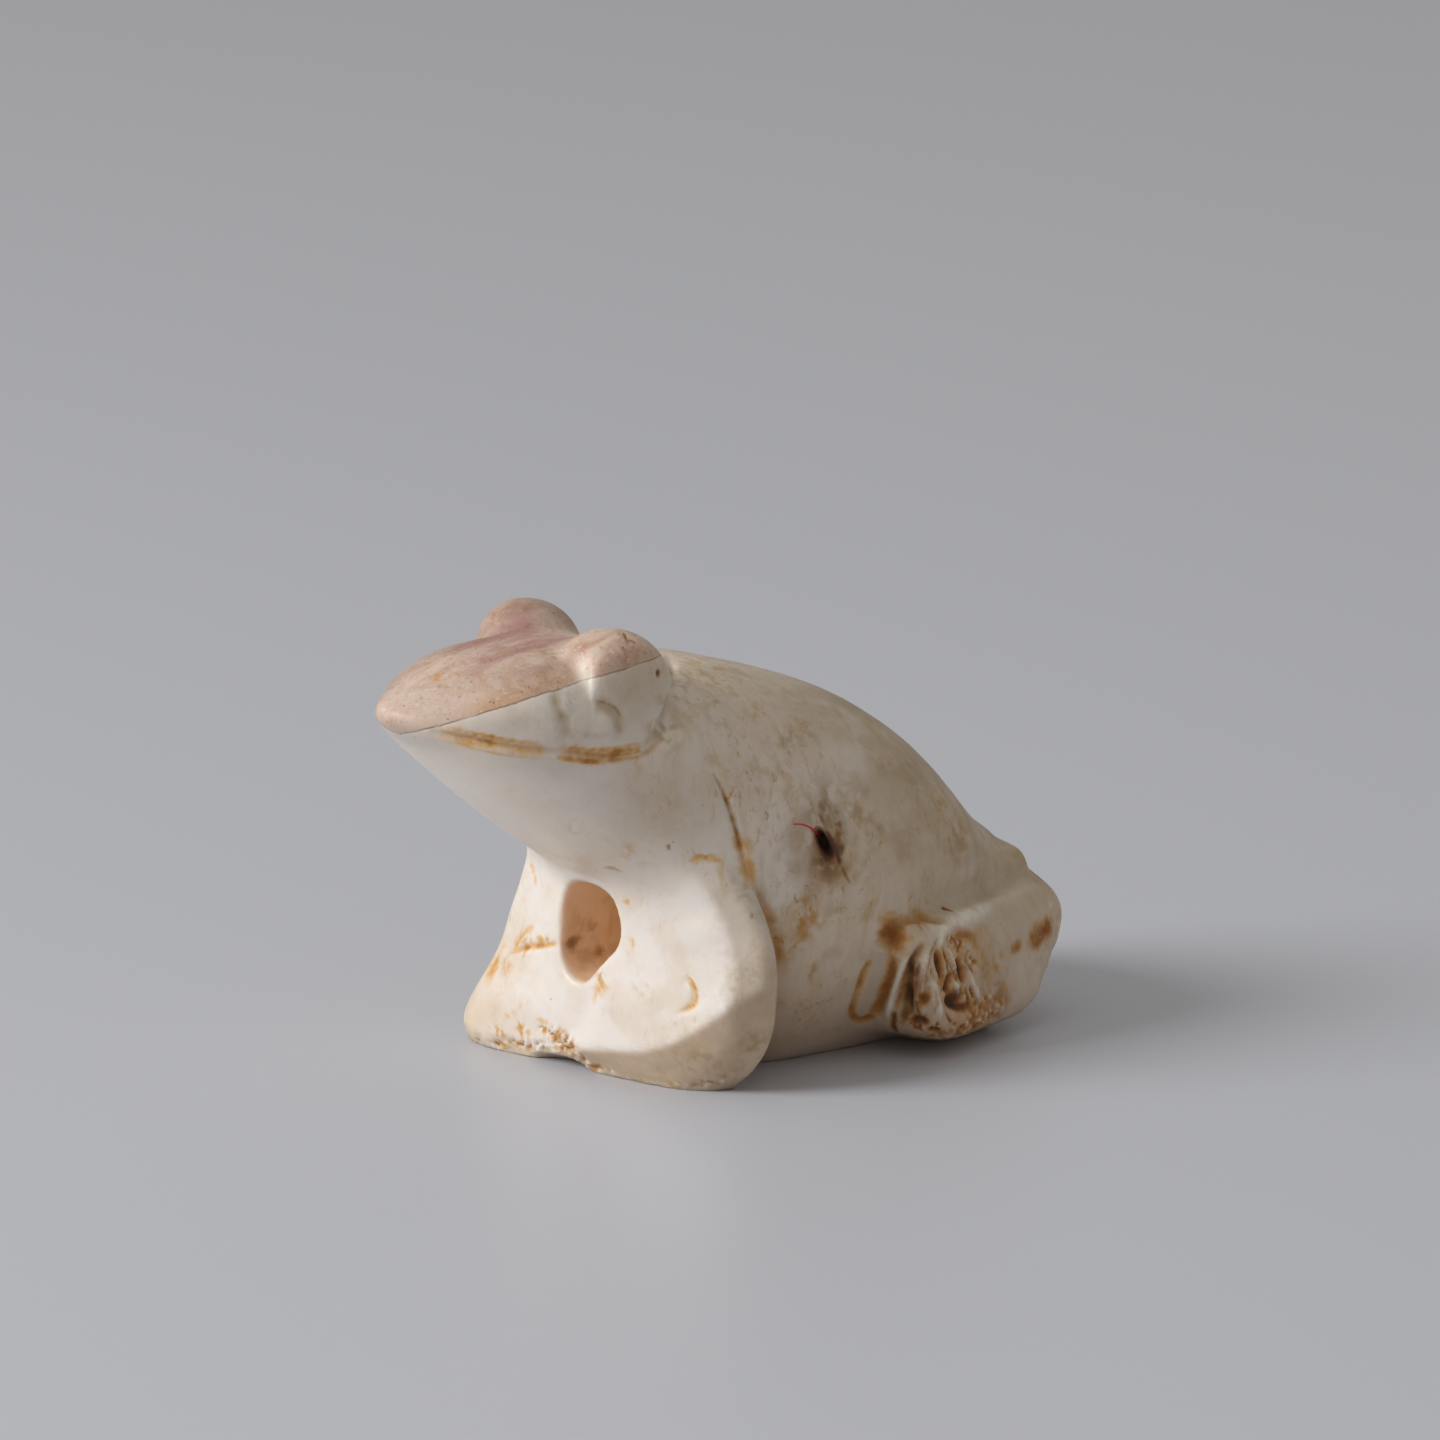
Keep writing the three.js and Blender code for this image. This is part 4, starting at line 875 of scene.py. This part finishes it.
# the down-facing throat in a lighter cream: the throat's own creamy colour, lifted further as painted light bounced up
# from the floor
LAYERS["cream"] = 0.8 * step(-0.35, -0.7, N[:, 2]) * step(-11.2, -9.5, Y) * step(7.4, 8.6, Z) * step(0.5, -1.5, Y)
LAYERS["taupe"] = np.maximum(LAYERS["taupe"], 0.58 * np.maximum(low_front * step(-2.5, 0.5, X), side_band * (X > 0)) * (0.9 + 0.6 * fbm(V, 0.7, 3, 19.0)))
rear_foot = step(5.5, 7.5, Y) * step(4.6, 3.6, Z)
LAYERS["ochre"] = np.maximum(LAYERS["ochre"], rear_foot * 0.16 * np.clip(fbm(V, 0.9, 3, 12.0) * 1.6, 0, 1))
# ochre and umber in the crease where the forelegs meet the trunk: a real stain there, and painted shade of the crease
crease_stain_and_shade = behind_arm = bell(forelegs(X, Y, Z) - 0.1, 0.35) * step(-1.0, 0.3, Y) * step(8.0, 6.0, Z) * step(0.2, 1.0, Z)
LAYERS["ochre"] = np.maximum(LAYERS["ochre"], 0.4 * crease_stain_and_shade * (0.7 + 0.5 * fbm(V, 0.8, 2, 3.3)))
LAYERS["umber"] = np.maximum(LAYERS["umber"], 0.28 * crease_stain_and_shade)
foot = step(6.3, 6.9, Y) * step(10.4, 9.2, Y) * step(4.7, 4.0, Z) * step(4.5, 5.2, np.abs(X))
LAYERS["umber"] = np.maximum(LAYERS["umber"], foot * 0.84 * step(0.05, 0.24, move) * np.clip(0.85 + 0.9 * fbm(V, 0.3, 3, 29.0), 0, 1.2))
LAYERS["ochre"] = np.maximum(LAYERS["ochre"], foot * 0.95 * step(-0.08, 0.12, move) * np.clip(0.8 + 0.8 * fbm(V, 0.5, 3, 14.0), 0, 1.2))
mottle = np.clip(fbm(V, 0.6, 4, 17.0) * 1.5, 0, 1)
LAYERS["taupe"] = np.maximum(LAYERS["taupe"], 0.45 * mottle * np.maximum(low_front, bell(forelegs(X, Y, Z), 0.2) * step(-2.2, -1.2, Y) * step(0.3, -0.3, Y)) * (Y < 0.5))
# inside of the opening: brown for dirt and painted shade, with more umber toward its lower part
deep = np.where(opening(X, Y, Z) < 0.12, step(-3.1, -2.6, Y), 0.0)
LAYERS["inner"] = deep
LAYERS["umber"] = np.maximum(LAYERS["umber"], deep * 0.2 * np.clip(fbm(V, 0.7, 3, 15.0) * 1.8 + 0.1, 0, 1) * step(5.4, 3.8, Z))
LAYERS["umber"] = np.maximum(LAYERS["umber"], np.where(pit(X, Y, Z) < 0.1, 0.85 * step(5.9, 5.5, X) * (X > 2), 0.0))

V = V - N * move[:, None]
V[:, 1] -= MIDDLE_Y


# ---------------------------------------------------------------- mesh
def piece(name, verts, faces, smooth=True):
    me = bpy.data.meshes.new(name)
    me.vertices.add(len(verts))
    me.vertices.foreach_set("co", (np.asarray(verts) * 0.001).astype(np.float32).ravel())
    k = len(faces[0])
    me.loops.add(len(faces) * k)
    me.loops.foreach_set("vertex_index", np.asarray(faces, np.int32).ravel())
    me.polygons.add(len(faces))
    me.polygons.foreach_set("loop_start", np.arange(0, len(faces) * k, k, dtype=np.int32))
    me.update(calc_edges=True)
    me.validate()
    if smooth:
        me.polygons.foreach_set("use_smooth", np.ones(len(faces), bool))
    ob = bpy.data.objects.new(name, me)
    bpy.context.collection.objects.link(ob)
    return ob


frog = piece("frog_carving", V, T)
print("skin", len(V), "points", len(T), "triangles")
for name, values in LAYERS.items():
    frog.data.attributes.new(name, "FLOAT", "POINT").data.foreach_set("value", np.clip(values, 0, 1).astype(np.float32))


# ---------------------------------------------------------------- materials
class Nodes:
    """Small helper for building a node tree."""

    def __init__(self, name):
        self.mat = bpy.data.materials.new(name)
        self.mat.use_nodes = True
        self.tree = self.mat.node_tree
        self.bsdf = self.tree.nodes["Principled BSDF"]

    def put(self, socket, value):
        if isinstance(value, bpy.types.NodeSocket):
            self.tree.links.new(value, socket)
        elif value is not None:
            socket.default_value = value

    def node(self, kind, out=0, **inputs):
        props = inputs.pop("props", {})
        n = self.tree.nodes.new(kind)
        for k, v in props.items():
            setattr(n, k, v)
        for k, v in inputs.items():
            self.put(n.inputs[int(k[1:])] if k[0] == "i" and k[1:].isdigit() else n.inputs[k.replace("_", " ")], v)
        return n.outputs[out]

    def math(self, op, a, b=None, c=None, clamp=False):
        n = self.tree.nodes.new("ShaderNodeMath")
        n.operation, n.use_clamp = op, clamp
        for i, v in enumerate((a, b, c)):
            self.put(n.inputs[i], v)
        return n.outputs[0]

    def ramp(self, v, a, b, lo=0.0, hi=1.0):
        return self.node("ShaderNodeMapRange", props={"interpolation_type": "SMOOTHSTEP"}, Value=v, From_Min=a, From_Max=b, To_Min=lo, To_Max=hi)

    def mix(self, f, a, b, blend="MIX"):
        n = self.tree.nodes.new("ShaderNodeMix")
        n.data_type, n.blend_type, n.clamp_factor = "RGBA", blend, True
        self.put(n.inputs[0], f)
        for s, v in ((n.inputs[6], a), (n.inputs[7], b)):
            self.put(s, (*v, 1.0) if isinstance(v, tuple) and len(v) == 3 else v)
        return n.outputs[2]

    def noise(self, v, scale, detail=3.0, rough=0.55, distort=0.0):
        return self.node("ShaderNodeTexNoise", Vector=v, Scale=scale, Detail=detail, Roughness=rough, Distortion=distort)

    def layer(self, name):
        return self.node("ShaderNodeAttribute", out=2, props={"attribute_name": name, "attribute_type": "GEOMETRY"})


def shell_material():
    m = Nodes("carved_shell")
    P = m.node("ShaderNodeVectorMath", props={"operation": "SCALE"}, i0=m.node("ShaderNodeTexCoord", out=3), i3=1000.0)
    split = m.tree.nodes.new("ShaderNodeSeparateXYZ")
    m.put(split.inputs[0], P)
    x, y, z = split.outputs
    yc = m.math("ADD", y, MIDDLE_Y)
    stretch = m.node("ShaderNodeVectorMath", props={"operation": "MULTIPLY"}, i0=P, i1=(1.0, 0.28, 1.0))
    flow = m.node("ShaderNodeVectorMath", props={"operation": "MULTIPLY"}, i0=P, i1=(0.9, 0.9, 0.22))
    cloud, fine, grain = m.noise(P, 0.22, 4), m.noise(P, 2.2, 4, 0.6), m.noise(P, 9.0, 3, 0.6)
    streaks, runs = m.noise(stretch, 1.1, 5, 0.6, 0.4), m.noise(flow, 1.6, 5, 0.62, 0.6)

    # nacreous cream, cloudy, a little greyer in veils
    col = m.mix(m.ramp(cloud, 0.35, 0.68), (0.83, 0.77, 0.71), (0.765, 0.665, 0.565))
    col = m.mix(m.math("MULTIPLY", m.ramp(runs, 0.5, 0.72), m.ramp(yc, -2.0, 0.5, 0.1, 0.32)), col, (0.70, 0.575, 0.45))
    col = m.mix(m.math("MULTIPLY", m.ramp(m.noise(P, 0.75, 5, 0.7, 0.3), 0.52, 0.7), 0.3), col, (0.70, 0.58, 0.46))
    col = m.mix(m.math("MULTIPLY", m.ramp(fine, 0.56, 0.75), 0.18), col, (0.62, 0.49, 0.37))
    # fine brown veining that follows the carver's strokes
    vein = m.math("MULTIPLY", m.ramp(m.noise(flow, 3.4, 5, 0.65, 0.9), 0.54, 0.72), m.ramp(cloud, 0.42, 0.6))
    vein = m.math("MULTIPLY", vein, m.ramp(yc, -5.0, 2.0, 0.3, 1.0))
    col = m.mix(vein, col, m.mix(1.0, col, (0.76, 0.61, 0.43), "MULTIPLY"))
    # warmer from the shoulders back, held back as painted light on the key-lit front faces and the down-facing throat
    warm = m.math("MULTIPLY", m.ramp(yc, -8.5, -2.5), m.ramp(runs, 0.2, 0.7, 0.6, 1.0))
    warm = m.math("MULTIPLY", warm, m.ramp(m.math("SUBTRACT", y, z), -7.2, -6.2, 0.35, 1.0))
    painted_front_light = m.layer("painted_front_light")
    warm = m.math("MULTIPLY", warm, m.math("SUBTRACT", 1.0, m.math("MULTIPLY", painted_front_light, 0.75)))
    warm = m.math("MULTIPLY", warm, m.math("SUBTRACT", 1.0, m.math("MULTIPLY", m.layer("cream"), 0.8)))
    col = m.mix(warm, col, m.mix(1.0, col, (0.885, 0.785, 0.645), "MULTIPLY"))
    # the down-facing throat lightened to cream, partly painted bounce light from the floor
    col = m.mix(m.math("MULTIPLY", m.layer("cream"), 0.75), col, (0.90, 0.80, 0.69))
    # painted light: the key-lit front faces of the forelegs lightened toward a cool near-white
    col = m.mix(m.math("MULTIPLY", painted_front_light, m.ramp(m.noise(P, 0.5, 4, 0.6, 0.4), 0.4, 0.62, 0.05, 0.8)), col, (0.84, 0.79, 0.75))
    # olive brown mottling of the trunk, in drifts of small blotches and flecks
    squat = m.node("ShaderNodeVectorMath", props={"operation": "MULTIPLY"}, i0=P, i1=(1.0, 0.8, 0.6))
    drift = m.math("MULTIPLY", m.ramp(m.noise(P, 0.42, 3, 0.6), 0.44, 0.6, 0.12, 1.0), m.ramp(yc, -6.5, 0.5, 0.12, 1.0))
    # fewer blotches on the key-lit front faces, as painted light
    drift = m.math("MULTIPLY", drift, m.math("SUBTRACT", 1.0, m.math("MULTIPLY", painted_front_light, 0.8)))
    blotch = m.math("MULTIPLY", m.ramp(m.noise(squat, 1.5, 6, 0.7, 0.7), 0.49, 0.64), drift)
    col = m.mix(blotch, col, m.mix(1.0, col, (0.86, 0.76, 0.565), "MULTIPLY"))
    fleck = m.math("MULTIPLY", m.ramp(m.noise(squat, 4.6, 4, 0.65, 0.5), 0.57, 0.68), drift)
    col = m.mix(fleck, col, m.mix(1.0, col, (0.74, 0.61, 0.41), "MULTIPLY"))
    # blush of the thin lower edge and the low belly: pinkish tone, with painted shade near the floor and on the hands'
    # down-facing facet
    col = m.mix(m.math("MULTIPLY", m.layer("blush"), 0.55), col, (0.60, 0.43, 0.35))
    # taupe patina of the back and olive-brown stains, with painted shade where the taupe layer darkens faces turned
    # from the light and hollows
    t = m.math("MULTIPLY", m.layer("taupe"), m.ramp(streaks, 0.25, 0.62, 0.55, 1.05), clamp=True)
    col = m.mix(m.math("MULTIPLY", t, 0.86), col, m.mix(fine, (0.455, 0.34, 0.19), (0.335, 0.24, 0.125)))

    # pinkish brown outer layer on top of the head, above a growth line
    level = m.math("ADD", m.math("MULTIPLY_ADD", yc, 0.1201, 14.0376), m.math("MULTIPLY", m.math("ADD", m.math("MAXIMUM", x, 0.0), m.math("MULTIPLY", m.math("MAXIMUM", m.math("MULTIPLY", x, -1.0), 0.0), 0.55)), 0.2924))
    wobble = m.math("MULTIPLY", m.math("SUBTRACT", m.noise(P, 0.9, 3), 0.5), 0.22)
    above = m.math("ADD", m.math("SUBTRACT", z, level), wobble)
    head = m.ramp(yc, -1.9, -2.5)
    skin_mask = m.math("MULTIPLY", m.ramp(above, 0.0, 0.06), head)
    pink = m.mix(m.ramp(streaks, 0.38, 0.66), (0.665, 0.52, 0.425), (0.56, 0.405, 0.325))
    pink = m.mix(m.math("MULTIPLY", m.ramp(m.noise(stretch, 0.55, 4, 0.6, 0.5), 0.52, 0.66), m.ramp(z, 14.4, 15.1)), pink, (0.50, 0.29, 0.24))
    pink = m.mix(m.math("MULTIPLY", m.ramp(above, 0.8, 0.15), m.ramp(m.noise(stretch, 0.5, 3), 0.35, 0.6, 0.25, 0.95)), pink, (0.66, 0.43, 0.27))
    pink = m.mix(m.math("MULTIPLY", m.ramp(m.noise(P, 1.6, 5, 0.7), 0.42, 0.66), 0.5), pink, m.mix(1.0, pink, (0.84, 0.74, 0.64), "MULTIPLY"))
    pink = m.mix(m.ramp(yc, -8.8, -10.6, 0.0, 0.85), pink, (0.65, 0.515, 0.435))
    band = m.math("MULTIPLY", m.ramp(z, 14.65, 15.0), m.math("MULTIPLY", m.ramp(x, 1.6, 0.6), m.ramp(x, -2.6, -1.2)))
    band = m.math("MULTIPLY", m.math("MULTIPLY", band, m.ramp(yc, -3.6, -4.6)), m.ramp(m.noise(stretch, 0.9, 4, 0.6, 0.3), 0.38, 0.58, 0.25, 1.0))
    pink = m.mix(m.math("MULTIPLY", band, 0.8), pink, (0.43, 0.215, 0.20))
    pink = m.mix(m.ramp(m.noise(P, 5.5, 3, 0.7), 0.53, 0.68, 0.0, 0.6), pink, m.mix(1.0, pink, (0.78, 0.68, 0.56), "MULTIPLY"))
    pink = m.mix(m.math("MULTIPLY", m.ramp(m.noise(squat, 1.2, 6, 0.72, 0.6), 0.48, 0.64), 0.6), pink, m.mix(1.0, pink, (0.82, 0.73, 0.60), "MULTIPLY"))
    pink = m.mix(m.ramp(m.noise(P, 4.1, 3, 0.7), 0.58, 0.7, 0.0, 0.45), pink, (0.79, 0.68, 0.60))
    pores = m.node("ShaderNodeTexVoronoi", props={"feature": "F1"}, Vector=m.node("ShaderNodeVectorMath", props={"operation": "MULTIPLY_ADD"}, i0=m.node("ShaderNodeTexNoise", out=1, Vector=P, Scale=2.0, Detail=2.0), i1=(0.5, 0.5, 0.5), i2=P), Scale=4.6)
    pore = m.math("MULTIPLY", m.ramp(pores, 0.27, 0.1), m.ramp(m.noise(P, 1.7, 4, 0.65), 0.47, 0.58))
    pink = m.mix(m.math("MULTIPLY", pore, 0.55), pink, (0.27, 0.16, 0.115))
    pink = m.mix(m.ramp(x, -0.6, -2.0, 0.0, 0.55), pink, m.mix(1.0, pink, (0.60, 0.52, 0.51), "MULTIPLY"))
    col = m.mix(skin_mask, col, pink)
    hair = m.math("MULTIPLY", m.ramp(m.math("ABSOLUTE", m.math("SUBTRACT", above, 0.01)), 0.045, 0.008), head)
    hair = m.math("MULTIPLY", hair, m.ramp(m.noise(P, 2.4, 2), 0.3, 0.55, 0.45, 1.0))
    col = m.mix(m.math("MULTIPLY", hair, 0.7), col, (0.22, 0.12, 0.07))

    # inside of the opening: brown for dirt and painted shade of the hollow, painted lighter on the left wall where the
    # light reaches in
    col = m.mix(m.math("MULTIPLY", m.layer("inner"), 0.9), col, m.mix(m.ramp(x, -0.9, 1.3), m.mix(fine, (0.87, 0.61, 0.395), (0.77, 0.52, 0.33)), m.mix(fine, (0.98, 0.80, 0.58), (0.92, 0.70, 0.48))))
    # ochre and umber dirt in the cuts, as stains that let the shell show through; the same layers also carry painted
    # shade in the crease behind the forelegs and inside the opening
    speckle = m.ramp(grain, 0.3, 0.7, 0.93, 1.07)
    o = m.math("MULTIPLY", m.math("MULTIPLY", m.layer("ochre"), speckle), m.ramp(m.noise(P, 1.5, 4, 0.6), 0.33, 0.62, 0.78, 1.15), clamp=True)
    col = m.mix(m.ramp(o, 0.03, 0.55), col, m.mix(1.0, col, (0.94, 0.67, 0.35), "MULTIPLY"))
    col = m.mix(m.ramp(o, 0.4, 1.0, 0.0, 0.94), col, m.mix(fine, (0.56, 0.245, 0.055), (0.38, 0.15, 0.035)))
    u = m.math("MULTIPLY", m.layer("umber"), speckle, clamp=True)
    col = m.mix(m.ramp(u, 0.02, 0.5), col, m.mix(1.0, col, (0.62, 0.46, 0.30), "MULTIPLY"))
    col = m.mix(m.ramp(u, 0.3, 0.9), col, m.mix(fine, (0.17, 0.08, 0.042), (0.085, 0.036, 0.02)))
    specks = m.node("ShaderNodeTexVoronoi", props={"feature": "F1"}, Vector=P, Scale=1.15)
    bare = m.math("SUBTRACT", 1.0, m.math("MAXIMUM", o, u), clamp=True)
    # lighter shell where worn or crumbled, and painted highlights on lit edges and ridges
    col = m.mix(m.math("MULTIPLY", m.math("MULTIPLY", m.layer("wear_and_highlight"), bare), m.ramp(fine, 0.3, 0.6, 0.7, 1.0)), col, (0.88, 0.81, 0.71))
    speck = m.math("MULTIPLY", m.ramp(specks, 0.06, 0.035), m.ramp(m.noise(P, 0.5, 2), 0.5, 0.58))
    col = m.mix(m.math("MULTIPLY", speck, 0.6), col, (0.30, 0.18, 0.10))
    m.put(m.bsdf.inputs["Base Color"], col)

    dirt = m.math("MAXIMUM", o, u)
    rough = m.math("ADD", m.ramp(runs, 0.3, 0.7, 0.30, 0.42), m.math("MULTIPLY", skin_mask, 0.14))
    rough = m.math("ADD", rough, m.math("MULTIPLY", dirt, 0.55), clamp=True)
    m.put(m.bsdf.inputs["Roughness"], rough)
    m.put(m.bsdf.inputs["Specular IOR Level"], 0.45)
    m.put(m.bsdf.inputs["Subsurface Weight"], 0.30)
    m.put(m.bsdf.inputs["Subsurface Radius"], (1.0, 0.55, 0.32))
    m.put(m.bsdf.inputs["Subsurface Scale"], 0.0009)
    height = m.math("ADD", m.math("MULTIPLY", fine, 0.35), m.math("MULTIPLY", grain, 0.12))
    height = m.math("SUBTRACT", height, m.math("MULTIPLY", m.math("MULTIPLY", pore, skin_mask), 0.9))
    height = m.math("SUBTRACT", height, m.math("MULTIPLY", hair, 0.5))
    height = m.math("SUBTRACT", height, m.math("MULTIPLY", dirt, m.math("MULTIPLY", grain, 0.9)))
    bump = m.node("ShaderNodeBump", Strength=0.55, Distance=0.00006, Height=height)
    m.put(m.bsdf.inputs["Normal"], bump)
    return m.mat


frog.data.materials.append(shell_material())
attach(frog, "root")
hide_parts("frog_figurine")


# red fibre caught in the pit
def tube(path, radius, sides=8):
    P = smooth_line(np.array(path, float), 8)
    T = np.gradient(P, axis=0)
    T /= np.linalg.norm(T, axis=1)[:, None]
    a = np.cross(T, [0.0, 0, 1])
    a /= np.linalg.norm(a, axis=1)[:, None]
    b = np.cross(T, a)
    verts, faces = [], []
    for i in range(len(P)):
        r = radius * (1 - 0.45 * (i / (len(P) - 1)))
        for k in range(sides):
            c = 2 * math.pi * k / sides
            verts.append(P[i] + r * (math.cos(c) * a[i] + math.sin(c) * b[i]))
    for i in range(len(P) - 1):
        for k in range(sides):
            faces.append((i * sides + k, i * sides + (k + 1) % sides, (i + 1) * sides + (k + 1) % sides, (i + 1) * sides + k))
    last = (len(P) - 1) * sides
    for cap in ((0, 1, 2, 3), (0, 3, 4, 7), (4, 5, 6, 7)):  # both ends closed, for eight sides
        faces += [tuple(reversed(cap)), tuple(last + k for k in cap)]
    return np.array(verts), faces


seat = on_skin([(825, 842), (818, 835), (812, 830), (806, 827), (799, 825), (790, 825)])
lift = np.array([-0.35, 0.03, 0.10, 0.18, 0.24, 0.30])[:, None]
path = seat + lift * unit((0.9, -0.3, 0.3))
path[:, 1] -= MIDDLE_Y
verts, faces = tube(path, 0.042)
fibre = piece("red_fibre", verts, faces)
m = Nodes("red_fibre")
m.put(m.bsdf.inputs["Base Color"], (0.60, 0.02, 0.05, 1))
m.put(m.bsdf.inputs["Roughness"], 0.6)
fibre.data.materials.append(m.mat)
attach(fibre, "root")

# ---------------------------------------------------------------- floor, light and camera
floor = piece("floor", [(-4000, -4000, 0), (4000, -4000, 0), (4000, 4000, 0), (-4000, 4000, 0)], [(0, 1, 2, 3)], False)
m = Nodes("floor")
m.put(m.bsdf.inputs["Base Color"], (0.56, 0.58, 0.635, 1))
m.put(m.bsdf.inputs["Roughness"], 0.42)
m.put(m.bsdf.inputs["Specular IOR Level"], 0.35)
floor.data.materials.append(m.mat)


def toward(az, el, dist):
    az, el = math.radians(az), math.radians(el)
    return Vector((math.sin(az) * math.cos(el), -math.cos(az) * math.cos(el), math.sin(el))) * dist


def softbox(name, az, el, dist, size, power, colour=(1, 1, 1)):
    light = bpy.data.lights.new(name, "AREA")
    light.shape, light.size, light.energy, light.color = "DISK", size, power, colour
    ob = bpy.data.objects.new(name, light)
    ob.location = toward(az, el, dist) + Vector((0, 0, 0.008))
    ob.rotation_euler = toward(az, el, 1).to_track_quat("Z", "Y").to_euler()
    bpy.context.collection.objects.link(ob)


softbox("key", -20, 31, 0.5, 0.24, 1.95, (1.0, 0.995, 0.985))
softbox("top", 20, 80, 0.7, 0.6, 0.35, (0.97, 0.985, 1.0))

world = bpy.data.worlds.new("studio")
world.use_nodes = True
world.node_tree.nodes["Background"].inputs[0].default_value = (0.80, 0.765, 0.725, 1)
world.node_tree.nodes["Background"].inputs[1].default_value = 0.42
bpy.context.scene.world = world
bpy.context.scene.view_settings.view_transform = "Standard"

camera = bpy.data.cameras.new("camera")
camera.sensor_fit, camera.angle = "HORIZONTAL", 2 * math.atan(HALF / DIST)
camera.clip_start, camera.clip_end = 0.01, 50.0
cam = bpy.data.objects.new("camera", camera)
aim = Vector(((AIM - np.array([0, MIDDLE_Y, 0])) * 0.001).tolist())
cam.location = aim + Vector(BACK.tolist()) * DIST * 0.001
cam.rotation_euler = Vector(BACK.tolist()).to_track_quat("Z", "Y").to_euler()
bpy.context.collection.objects.link(cam)
bpy.context.scene.camera = cam
